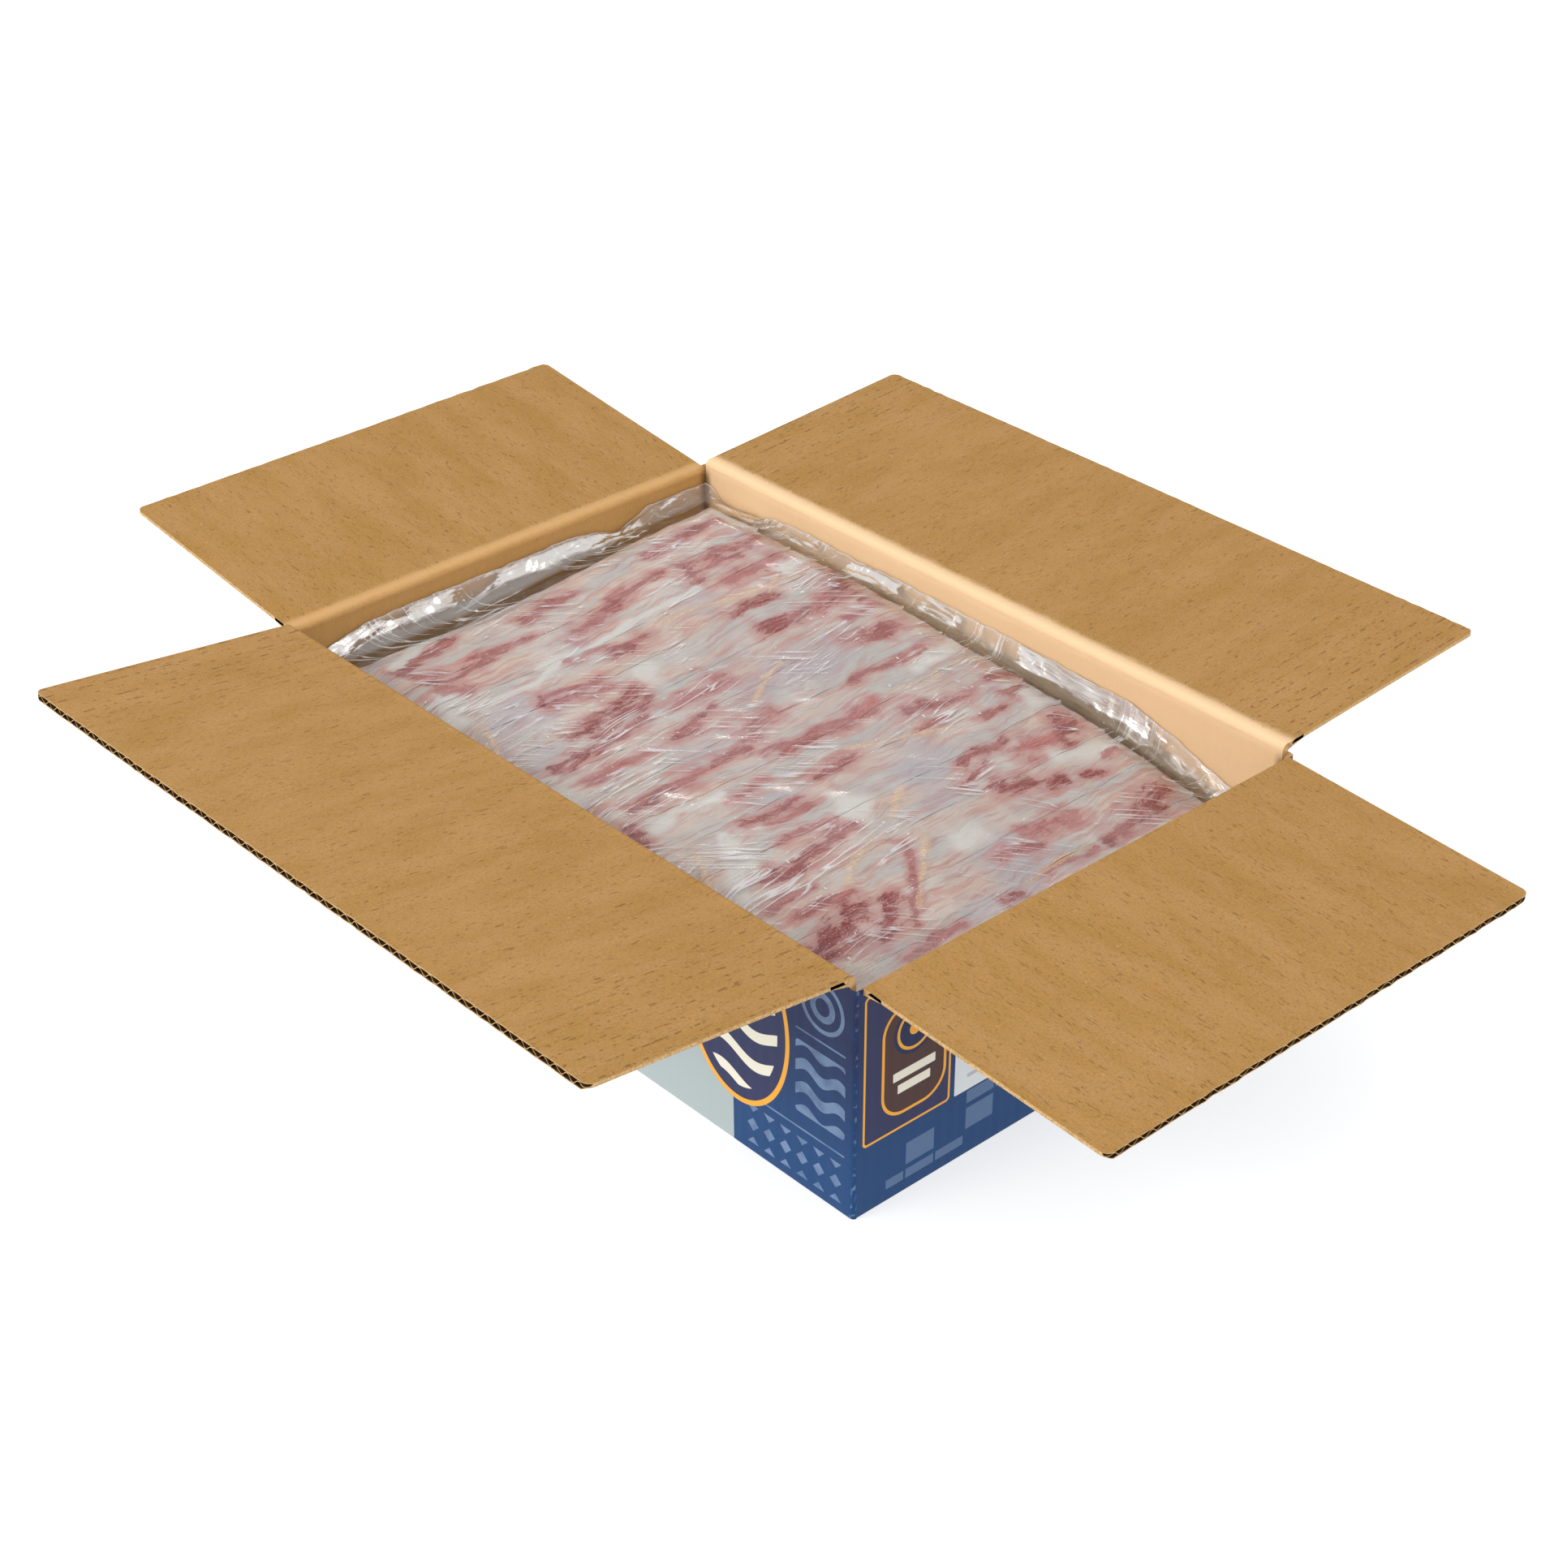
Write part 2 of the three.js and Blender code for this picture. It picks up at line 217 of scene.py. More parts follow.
def kraft_finish(name, tint, pale):
    """Bare kraft liner. Slow mottling, short dark and pale fibres that lie along the flutes, and the
    glue lines of the flutes, broken, and stronger towards the ends of the long flaps. Painted light:
    the rolled fold and the wall below it are painted paler, a painted sheen, on the long side that
    the light rakes, the left wall is painted lit, the crests carry a painted highlight, and painted
    shade darkens the upright corners."""
    finish = Finish(name)
    around, up, depth = finish.axes(finish.attribute("blank"))
    place = finish.vector(around, up, depth)
    ticks = finish.noise(finish.vector(around * 900, up * 190), 1.0, 2.0, 0.5, 0.8)
    motes = finish.noise(finish.vector(around * 900, up * 340, 9.0), 1.0, 2.0, 0.5, 0.4)
    grain = finish.noise(finish.vector(around * 900, up * 700), 1.0, 3.0, 0.7)
    clouds = finish.noise(finish.vector(around * 48, up * 15, depth), 1.0, 4.0, 0.62)
    blush = finish.noise(finish.vector(around * 90, up * 26, 3.0), 1.0, 3.0, 0.6)
    flute = (around * (2 * math.pi / (FLUTE_PITCH * MM))).math("COSINE")
    breaks = finish.noise(finish.vector(around * 70, up * 150, 2.0), 1.0, 3.0, 0.7)
    half_round = around % ((LENGTH + WIDTH) * MM)
    from_middle = abs(half_round - (WIDTH + LENGTH / 2) * MM)
    near_end = from_middle.above((LENGTH / 2 - 75) * MM, (LENGTH / 2 - 30) * MM)
    near_end = 0.15 + 0.6 * near_end * (1 - from_middle.above((LENGTH / 2 - 2) * MM, (LENGTH / 2 + 2) * MM))
    lines = flute.above(0.82, 0.97) * breaks.above(0.5, 0.58) * near_end
    color = finish.mix(clouds.above(0.3, 0.72), tint, pale)
    color = finish.mix(blush.above(0.45, 0.75) * 0.3, color, "#b48c60")
    color = finish.mix(grain.above(0.4, 0.75) * 0.36, color, KRAFT_FIBRE)
    color = finish.mix(motes.above(0.66, 0.74) * 0.3, color, "#d4ad75")
    color = finish.mix(ticks.above(0.6, 0.7) * 0.6, color, KRAFT_FIBRE)
    color = finish.mix(lines * 0.85, color, KRAFT_FIBRE)

    # The inner walls and the rolled folds, all painted light: a painted sheen makes them pale at the back,
    # where the light rakes them, the left is painted lit, the crests get a painted highlight, and painted
    # shade makes them dark in the upright corners
    inner = 1 - up.above((FOLD_HEIGHT - 2) * MM, (FOLD_HEIGHT + 5) * MM)
    on_back = around.above((2 * WIDTH + LENGTH - 4) * MM, (2 * WIDTH + LENGTH + 4) * MM)
    on_left = 1 - around.above((WIDTH - 4) * MM, (WIDTH + 4) * MM)
    ragged_up = up + (breaks + grain * 0.6 - 0.8) * (5 * MM)
    crest_highlight = ragged_up.above((FOLD_HEIGHT - 6) * MM, (FOLD_HEIGHT - 1) * MM)
    crest_highlight = crest_highlight * (1 - ragged_up.above((FOLD_HEIGHT + 1) * MM, (FOLD_HEIGHT + 7) * MM))
    to_corner = half_round.math("MINIMUM", (LENGTH + WIDTH) * MM - half_round)
    to_corner = to_corner.math("MINIMUM", abs(half_round - WIDTH * MM))
    below_fold = 1 - up.above((FOLD_HEIGHT - 9) * MM, FOLD_HEIGHT * MM)
    corner = (1 - to_corner.above((BOARD + 0.5) * MM, (BOARD + 6) * MM)) * below_fold
    color = finish.mix(inner * on_back * 0.85, color, KRAFT_SHEEN)
    color = finish.mix(inner * on_left * 0.6, color, KRAFT_LIT)
    color = finish.mix(crest_highlight * on_back * 0.4, color, KRAFT_CREST_HIGHLIGHT)
    color = finish.mix(crest_highlight * on_left * 0.42, color, "#dcb07a")
    color = finish.mix(corner * 0.75, color, KRAFT_SHADE)
    relief = flute * (0.03 * MM) + ticks * (0.06 * MM) + clouds * (0.15 * MM) + grain * (0.05 * MM)
    return finish.done(finish.surface(color, 0.75, finish.bump(relief), Specular_IOR_Level=0.3))


def inside_box(x, y, center, half, radius=0.0, soft=0.12):
    """1 inside a box with round corners, from the distance to its inner box."""
    across = (abs(x - center[0] * MM) - (half[0] - radius) * MM).math("MAXIMUM", 0.0)
    along = (abs(y - center[1] * MM) - (half[1] - radius) * MM).math("MAXIMUM", 0.0)
    distance = (across * across + along * along) ** 0.5
    return 1 - distance.above((radius - soft) * MM, (radius + soft) * MM)


def inside_oval(x, y, center, half, soft=0.01):
    """1 inside an ellipse, from the point's distance in units of its half axes."""
    across = (x - center[0] * MM) / (half[0] * MM)
    along = (y - center[1] * MM) / (half[1] * MM)
    return 1 - (across * across + along * along).above(1 - soft, 1 + soft)


def stripes(value, period, width):
    """1 in the first part of every period and 0 in the rest, with soft edges."""
    place = value % (period * MM)
    return place.above(0, 0.3 * MM) - place.above(width * MM, (width + 0.3) * MM)


def print_finish():
    """The printed liner. The print is laid out on the flat blank, as distance round the case and
    height."""
    finish = Finish("printed_liner")
    around, up, _ = finish.axes(finish.attribute("blank"))
    # Each long wall repeats the same layout, and so does each short wall.
    half_round = around % ((LENGTH + WIDTH) * MM)
    short = half_round - WIDTH / 2 * MM
    long = half_round - (WIDTH + LENGTH / 2) * MM
    on_long = half_round.above((WIDTH - 0.1) * MM, (WIDTH + 0.1) * MM)
    deep = up.above(15 * MM, 110 * MM)
    color = finish.mix(deep, TEAL, NAVY)
    mottle = finish.noise(finish.vector(around, up), 60.0, 4.0, 0.6)
    color = finish.mix(mottle.above(0.35, 0.75) * 0.25, color, TEAL)

    # Tone-on-tone motifs on the navy ends of the long walls: rings, waves, bars and diamonds
    end = abs(long)
    ring = inside_oval(end, up, (194, 107), (14, 14)) - inside_oval(end, up, (194, 107), (11.8, 11.8))
    core = inside_oval(end, up, (194, 107), (8, 8)) - inside_oval(end, up, (194, 107), (4.5, 4.5))
    sway = (end * (2 * math.pi / 0.021)).math("SINE") * (2.2 * MM)
    waves = stripes(up + sway, 13, 6) * inside_box(end, up, (193, 62), (16, 20), 2)
    fold = abs((end % (11 * MM)) - 5.5 * MM) + abs((up % (11 * MM)) - 5.5 * MM)
    diamonds = (1 - fold.above(3.6 * MM, 3.9 * MM)) * inside_box(end, up, (176, 16.5), (33, 11), 1)
    rules = inside_box(end, up, (176, 33), (33, 0.5), 0.2) + inside_box(end, up, (193, 88), (16, 0.5), 0.2)
    motifs = (ring + core + waves + diamonds + rules).math("MINIMUM", 1.0)
    color = finish.mix(motifs * on_long * (mottle.above(0.3, 0.62) * 0.4 + 0.4), color, SKY_INK)

    # The pale middle of a long wall, and the oval badge that lies across its edge
    pale = (1 - end.above(134.9 * MM, 135.1 * MM)) * on_long
    color = finish.mix(pale, color, PALE_INK)
    rim = inside_oval(end, up, (138, 74), (35, 49))
    face = inside_oval(end, up, (138, 74), (32.4, 46.2))
    swell = (end * (2 * math.pi / 0.046)).math("SINE") * (3.5 * MM)
    stripe = stripes(up + swell, 17, 6)
    inner = inside_oval(end, up, (138, 74), (27, 40))
    color = finish.mix(rim * on_long, color, ORANGE_INK)
    color = finish.mix(face * on_long, color, PLUM_INK)
    color = finish.mix(inner * stripe * on_long, color, CREAM_INK)

    # The short walls: an outlined panel with a badge, a plain label, and rows of blocks below
    on_short = 1 - on_long
    panel = inside_box(short, up, (-113, 79), (27, 41), 2.5)
    frame_line = panel - inside_box(short, up, (-113, 79), (25.8, 39.8), 1.6)
    badge_rim = inside_box(short, up, (-109, 76), (20, 30), 14)
    badge = inside_box(short, up, (-109, 76), (18.4, 28.4), 12.5)
    color = finish.mix(panel * on_short, color, PLUM_INK)
    color = finish.mix((frame_line + badge_rim).math("MINIMUM", 1.0) * on_short, color, ORANGE_INK)
    color = finish.mix(badge * on_short, color, BROWN_INK)
    blue = inside_oval(short, up, (-109, 90), (13, 13))
    ring = inside_oval(short, up, (-109, 90), (11, 11)) - inside_oval(short, up, (-109, 90), (9.4, 9.4))
    dots = ring + inside_oval(short, up, (-109, 90), (3.4, 3.4))
    upper_bar = inside_box(short, up, (-109, 68), (13, 2.4), 0.4)
    lines = upper_bar + inside_box(short, up, (-109, 60.5), (10, 2.4), 0.4)
    color = finish.mix(blue * on_short, color, NAVY)
    color = finish.mix(dots * on_short, color, ORANGE_INK)
    color = finish.mix(lines * on_short, color, CREAM_INK)
    label = inside_box(short, up, (-35, 79), (48, 41), 1)
    color = finish.mix(label * on_short, color, "#d9dcdc")
    grey_rows = (up % (13 * MM)).above(4 * MM, 4.3 * MM) * (1 - (up % (13 * MM)).above(8 * MM, 8.3 * MM))
    grey = grey_rows * inside_box(short, up, (-45, 79), (30, 34), 1)
    color = finish.mix(grey * on_short * 0.55, color, "#8d9398")
    block_cell = (short / (19 * MM)).math("FLOOR") + (up / (15 * MM)).math("FLOOR") * 23
    block_draw = finish.node("ShaderNodeTexWhiteNoise", {"noise_dimensions": "1D"}, {"W": block_cell})
    below_gap = 1 - (up % (15 * MM)).above(12 * MM, 12.3 * MM)
    in_cell = (short % (19 * MM)).above(1.2 * MM, 1.5 * MM) * below_gap
    blocks = in_cell * block_draw.above(0.5, 0.52) * inside_box(short, up, (-20, 22), (105, 15), 1)
    color = finish.mix(blocks * on_short * 0.45, color, SKY_INK)

    # Ink lies thinly over a fluted board, and rubs off on the creases
    flute = (around * (2 * math.pi / (FLUTE_PITCH * MM))).math("COSINE")
    relief = flute * (0.03 * MM) + finish.noise(finish.vector(around * 600, up * 900), 1.0) * (0.02 * MM)
    to_corner = half_round.math("MINIMUM", (LENGTH + WIDTH) * MM - half_round)
    to_corner = to_corner.math("MINIMUM", abs(half_round - WIDTH * MM))
    to_corner = to_corner + up.above(4 * MM, 30 * MM) * (1.6 * MM)
    scuffs = finish.noise(finish.vector(around * 500, up * 260, 4.0), 1.0, 3.0, 0.6).above(0.52, 0.62)
    color = finish.mix((1 - to_corner.above(1.2 * MM, 2.8 * MM)) * scuffs * 0.3, color, "#a9bccd")
    return finish.done(finish.surface(color, 0.46, finish.bump(relief), Specular_IOR_Level=0.2))


def paper_finish(name, dark, light):
    """Rough brown paper, mottled by fine noise."""
    finish = Finish(name)
    fibres = finish.noise(finish.attribute("blank"), 900.0, 3.0, 0.6)
    color = finish.mix(fibres.above(0.3, 0.75), dark, light)
    return finish.done(finish.surface(color, 0.9, Specular_IOR_Level=0.15))


def grid_quads(index, wrap_rows=False, wrap_columns=False):
    """The quads of a grid of point numbers. A quad's normal is its column step crossed with its row
    step."""
    if wrap_rows:
        index = np.vstack([index, index[:1]])
    if wrap_columns:
        index = np.hstack([index, index[:, :1]])
    corners = [index[:-1, :-1], index[:-1, 1:], index[1:, 1:], index[1:, :-1]]
    return np.stack([c.ravel() for c in corners], axis=1)


def make_piece(name, points, quads, materials, slots=None, blank=None, sharp=38.0):
    """A mesh object from points in millimetres and quads. "blank" is each point's place on the flat
    board, kept as an attribute in metres; "slots" is each quad's material number."""
    mesh = bpy.data.meshes.new(name)
    mesh.vertices.add(len(points))
    mesh.vertices.foreach_set("co", (points * MM).astype(np.float32).ravel())
    mesh.loops.add(4 * len(quads))
    mesh.loops.foreach_set("vertex_index", quads.astype(np.int32).ravel())
    mesh.polygons.add(len(quads))
    mesh.polygons.foreach_set("loop_start", np.arange(0, 4 * len(quads), 4, dtype=np.int32))
    for material in materials:
        mesh.materials.append(material)
    if slots is not None:
        mesh.polygons.foreach_set("material_index", slots.astype(np.int32))
    if blank is not None:
        attribute = mesh.attributes.new("blank", "FLOAT_VECTOR", "POINT")
        attribute.data.foreach_set("vector", (blank * MM).astype(np.float32).ravel())
    mesh.update()
    mesh.validate()
    mesh.shade_smooth()
    mesh.set_sharp_from_angle(angle=math.radians(sharp))
    piece = bpy.data.objects.new(name, mesh)
    bpy.context.scene.collection.objects.link(piece)
    return piece


def ripples(x, y, size, seed, count=7):
    """Uneven relief between about -1 and 1: the mean of sine waves of about the given length that run
    in directions drawn from a seeded generator."""
    draw = np.random.default_rng(seed)
    total = 0.0
    for _ in range(count):
        turn = draw.uniform(0, 2 * np.pi)
        length = size * draw.uniform(0.7, 1.6)
        phase = draw.uniform(0, 2 * np.pi)
        total = total + np.sin((x * np.cos(turn) + y * np.sin(turn)) * 2 * np.pi / length + phase)
    return total / count ** 0.5


def side_steps(side, radius):
    """Distances along one side of the case from the end of one corner's curve to the next: close
    together where the top steps down at the corner, and even between."""
    near = np.array([radius, BOARD, BOARD + CREASE / 2, 7.0, 11.0])
    return np.concatenate([near, np.linspace(16, side - 16, 22), side - near[::-1]])


def rounded_outline(length, width, radius, inset=0.0):
    """Points round a rectangle with quarter-circle corners, from the back left corner by way of the
    front, with the number of its wall and the distance from that wall's first corner. An outline
    that lies inset from another has its points straight across from the other's."""
    sides = [width, length, width, length]
    starts = np.array([[-length, width], [-length, -width], [length, -width], [length, width]]) / 2
    ways = np.array([[0, -1], [1, 0], [0, 1], [-1, 0]])
    points, walls, distances = [], [], []
    bend = np.linspace(0, np.pi / 2, 7)[1:-1]
    for wall in range(4):
        total = sides[wall] + 2 * inset
        steps = side_steps(total, CORNER_RADIUS)
        from_first = np.maximum(steps - inset, radius + 0.01 * steps)
        from_last = np.maximum(total - steps - inset, radius + 0.01 * (total - steps))
        steps = np.where(steps < total / 2, from_first, sides[wall] - from_last)
        points.append(starts[wall] + steps[:, None] * ways[wall])
        way, turn = ways[wall], ways[(wall + 1) % 4]
        center = starts[(wall + 1) % 4] - way * radius + turn * radius
        points.append(center - turn * radius * np.cos(bend)[:, None] + way * radius * np.sin(bend)[:, None])
        walls.append(np.full(len(steps) + len(bend), wall))
        distances.append(np.concatenate([steps, sides[wall] - radius * (1 - np.sin(bend))]))
    return np.concatenate(points), np.concatenate(walls), np.concatenate(distances)


def wall_mesh():
    """The four walls as one band. Its section runs up the outside, down the 45 degree crease at the
    top and down the inside, and is carried round the rounded outline of the case. The outside bulges
    a little, by a sine along and up each wall."""
    outer, wall, distance = rounded_outline(LENGTH, WIDTH, CORNER_RADIUS)
    inner, _, _ = rounded_outline(LENGTH - 2 * BOARD, WIDTH - 2 * BOARD, 0.1, BOARD)
    sides = np.array([WIDTH, LENGTH, WIDTH, LENGTH])
    first = np.concatenate([[0], np.cumsum(sides)[:-1]])
    side = sides[wall]
    is_short = (wall % 2 == 0) & (distance > BOARD + 0.1) & (distance < side - BOARD - 0.1)
    ridge = np.where(is_short, SHORT_AXIS, LONG_AXIS) - 2 * CREASE
    away = np.array([[-1.0, 0.0], [0.0, -1.0], [1.0, 0.0], [0.0, 1.0]])[wall]
    rows, heights, faces = [], [], []
    foot = FOOT_RADIUS * (1 - np.sqrt(1 - (1 - np.linspace(0, 1, 5)) ** 2))
    for share, tuck in zip(np.linspace(0, FOOT_RADIUS, 5), foot):
        rows.append(outer - away * tuck)
        heights.append(0 * ridge + share)
    for share in np.linspace(0.05, 1, 18):
        height = FOOT_RADIUS + share * (ridge - FOOT_RADIUS)
        bulge = WALL_BULGE * np.sin(np.pi * distance / side) * np.sin(np.pi * share)
        rows.append(outer + away * bulge[:, None])
        heights.append(height)
    for share in np.linspace(0, 1, 10):
        rows.append(inner)
        heights.append(ridge - BOARD + share * (2 * BOARD - ridge + BOARD))
    rows, heights = np.array(rows), np.array(heights)
    points = np.concatenate([rows, heights[:, :, None]], axis=2)
    blank = np.stack([np.broadcast_to(first[wall] + distance, heights.shape), heights, 0 * heights], axis=2)
    index = np.arange(heights.size).reshape(heights.shape)
    quads = grid_quads(index, wrap_rows=True, wrap_columns=True)
    row_slots = np.array([0] * 22 + [2] + [1] * 9 + [2])
    slots = np.repeat(row_slots, heights.shape[1])
    return points.reshape(-1, 3), quads, slots, blank.reshape(-1, 3)


printed = print_finish()
kraft_wall = kraft_finish("kraft_liner", KRAFT, "#b3874e")
core = paper_finish("fluted_medium", "#3a2610", "#5b4122")
cut_edge = paper_finish("cut_edge", "#a98454", "#d4b384")
points, quads, slots, blank = wall_mesh()
walls = make_piece("walls", points, quads, [printed, kraft_wall, cut_edge], slots, blank)
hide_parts("case")
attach(walls, "filled_case")

# Bottom flaps
# The two outer bottom flaps are folded under the long walls and meet in a seam along the middle.
# They are the same corrugated board as the rest, so each is made of its three plies.
LINER = 0.5
MEDIUM = 0.4
CRUSHED = 0.5  # share of its thickness that the board loses at a cut along the flutes
SEAM = 0.5
EDGE_FRAY = 0.22


def slab_quads(rows, columns):
    """The quads of a closed sheet: its upper grid's points come first, then its lower grid's. Also
    gives each quad's face: 0 for the top, 1 for the underside, 2 for the rim."""
    top = np.arange(rows * columns).reshape(rows, columns)
    low = top + rows * columns

    def strip(a, b):
        return np.stack([a[:-1], a[1:], b[1:], b[:-1]], axis=1)

    rims = [
        strip(low[0], top[0]), strip(top[-1], low[-1]),
        strip(top[:, 0], low[:, 0]), strip(low[:, -1], top[:, -1]),
    ]
    upper = grid_quads(top)
    quads = np.concatenate([upper, upper[:, ::-1] + rows * columns, *rims])
    faces = np.full(len(quads), 2)
    faces[:len(upper)] = 0
    faces[len(upper):2 * len(upper)] = 1
    return quads, faces


def ply_columns(width, corner, spacing):
    """Places across a ply: close together in its rounded corners and even between them."""
    near = corner * (1 - np.cos(np.linspace(0, np.pi / 2, 7)))
    between = np.linspace(corner, width - corner, int((width - 2 * corner) / spacing) + 1)[1:-1]
    return np.concatenate([near, between, width - near[::-1]]) - width / 2


def step(value, low, high):
    """0 below low, 1 above high and a smooth step between them."""
    share = np.clip((value - low) / (high - low), 0, 1)
    return share * share * (3 - 2 * share)


def board_plies(name, width, reach, corner, place, blank_at, root, seed, warp=0.0):
    """Three plies of corrugated board, each a closed sheet between two heights above the outer face.
    The medium's height is a cosine across the flutes. "place" turns across, out and height into a
    point; "root" is where the board starts, at each height, on its way out from the fold. The board
    bows by "warp", by the square of the way out and a raised cosine across."""
    def side_wall(across):
        """Beside a cut along the flutes, where the medium's last flute closes the edge, nearly the
        height of the inner liner's underside. 0 elsewhere."""
        return (np.abs(across) > width / 2 - 0.2) * (BOARD - LINER - 0.05)

    plies = {
        "outer_liner": (lambda a: 0 * a + LINER, lambda a: 0 * a, 5.0),
        "inner_liner": (lambda a: 0 * a + BOARD, lambda a: 0 * a + BOARD - LINER, 5.0),
        "medium": (lambda a: np.maximum(flute_height(a) + MEDIUM / 2, side_wall(a)),
                   lambda a: np.minimum(flute_height(a) - MEDIUM / 2, BOARD - side_wall(a)),
                   FLUTE_PITCH / 12),
    }
    flipped = np.linalg.det(place(np.eye(3)) - place(np.zeros((3, 3)))) < 0
    made = []
    for ply, (upper, lower, spacing) in plies.items():
        across = ply_columns(width, corner, spacing)
        inset = np.clip(corner - (width / 2 - np.abs(across)), 0, corner)
        fray = EDGE_FRAY * ripples(across, 0 * across, 9.0, seed)
        fray = fray + 0.1 * ripples(across, 0 * across, 2.3, seed + 1)
        edge = reach - corner + np.sqrt(corner ** 2 - inset ** 2) + fray * (inset == 0) - EDGE_FRAY
        steps = np.linspace(0, 1, 3 if ply == "medium" and warp == 0 else 18)[:, None]
        sheets = []
        pressed = 1 - CRUSHED * step(np.abs(across), width / 2 - 5, width / 2)
        for height in (upper(across), lower(across)):
            height = BOARD - (BOARD - height) * pressed
            start = root(height)
            out = start + steps * (edge - start)
            level = height + warp * (out / reach) ** 2 * (0.5 + 0.5 * np.cos(across / width * 3.0 + seed))
            sheets.append(np.stack(np.broadcast_arrays(across, out, level), axis=2))
        local = np.concatenate([sheet.reshape(-1, 3) for sheet in sheets])
        quads, faces = slab_quads(len(steps), len(across))
        quads = quads[:, ::-1] if flipped else quads
        finishes = {"outer_liner": [core, printed, cut_edge], "inner_liner": [kraft_wall, core, cut_edge],
                    "medium": [core, core, cut_edge]}[ply]
        piece = make_piece(f"{name}_{ply}", place(local), quads, finishes, faces, blank_at(local))
        made.append(piece)
    return made


def flute_height(across):
    """The middle of the fluted medium: a cosine between the two liners."""
    swing = (BOARD - 2 * LINER - MEDIUM) / 2
    return BOARD / 2 + swing * np.cos(across * 2 * np.pi / FLUTE_PITCH)


for name, wall_y in (("bottom_front", -WIDTH / 2), ("bottom_back", WIDTH / 2)):
    inward = -np.sign(wall_y)

    def place(local, wall_y=wall_y, inward=inward):
        """Across along the wall, out towards the seam, and height above the ground."""
        across, out, height = local.T
        return np.stack([-inward * across, wall_y + inward * out, height], axis=1) * [-1, 1, 1]

    def blank_at(local, wall_y=wall_y):
        middle = WIDTH + LENGTH / 2 + (LENGTH + WIDTH) * (wall_y > 0)
        return np.stack([middle + local[:, 0], -local[:, 1], local[:, 2]], axis=1)

    plies = board_plies(name, LENGTH - 2 * BOARD, WIDTH / 2 - SEAM, 1.0, place, blank_at,
                        lambda h: 2.6 + 0 * h, 11)
    for piece in plies:
        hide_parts("case")
        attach(piece, "filled_case")

# Top flaps
# Four flaps of the same blank, folded outwards, each hinged on a crease. The kraft side is up, the
# flutes run out from the fold, and the cut edge shows their ends.
FLAP_CORNER = 4.0
SHORT_REACH = 141.4
FLAPS = {
    # name: the way out, its share of the round of the case, width, reach, tilt above level
    "front": ((0, -1), WIDTH + LENGTH / 2, LENGTH - 2 * BOARD - 2 * CREASE, WIDTH / 2 - CREASE / 2, 7.0),
    "right": ((1, 0), 1.5 * WIDTH + LENGTH, WIDTH - 2 * BOARD - 2 * CREASE, SHORT_REACH, -3.3),
    "back": ((0, 1), 2 * WIDTH + 1.5 * LENGTH, LENGTH - 2 * BOARD - 2 * CREASE, WIDTH / 2 - CREASE / 2, 3.4),
    "left": ((-1, 0), WIDTH / 2, WIDTH - 2 * BOARD - 2 * CREASE, SHORT_REACH, 6.4),
}


def fold_axes(side):
    """A fold's point in millimetres, the way round the case, the way out along the tilted flap and
    the way up from its outer face."""
    away, _, _, _, tilt = FLAPS[side]
    level = np.array([*away, 0.0])
    up = np.array([0.0, 0.0, 1.0])
    turn = math.radians(tilt)
    point = np.array(JOINTS[f"{side}_fold"]["pos_m"]) / MM
    round_way = np.cross(up, level)
    out = math.cos(turn) * level + math.sin(turn) * up
    rise = -math.sin(turn) * level + math.cos(turn) * up
    return point, round_way, out, rise


# The short flaps bow up and the long ones down, which leaves room between them when they are shut
WARP = 0.8
for number, (side, (away, middle, width, reach, tilt)) in enumerate(FLAPS.items()):
    point, round_way, out_way, rise_way = fold_axes(side)

    def place(local, basis=np.array([round_way, out_way, rise_way]), point=point):
        """Across, out and height along the flap's own axes, from the fold."""
        return point + local @ basis

    def blank_at(local, middle=middle):
        return np.stack([middle + local[:, 0], FOLD_HEIGHT + local[:, 1], local[:, 2]], axis=1)

    plies = board_plies(f"flap_{side}", width, reach, FLAP_CORNER, place, blank_at, lambda h: CREASE + h,
                        31 + number, warp=WARP if side in ("left", "right") else -WARP)
    for piece in plies:
        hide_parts(f"flap_{side}")
        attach(piece, f"{side}_flap")

# Folds
# Where a flap turns out, the inner liner rolls over the crushed crease in a smooth round. On the back
# and left it is painted paler than the flat board, a painted highlight along the crest. It is shaped
# for the flap's resting angle.
ROLL = 0.4  # how far the roll stands proud of a true quarter circle
ROLL_RUN = 11.0
ROLL_LIFT = 0.05


def past_half_turn(side):
    """True where a flap turns by more than 180 degrees to close."""
    return JOINTS[f"{side}_fold"]["range_deg"][1] > 180


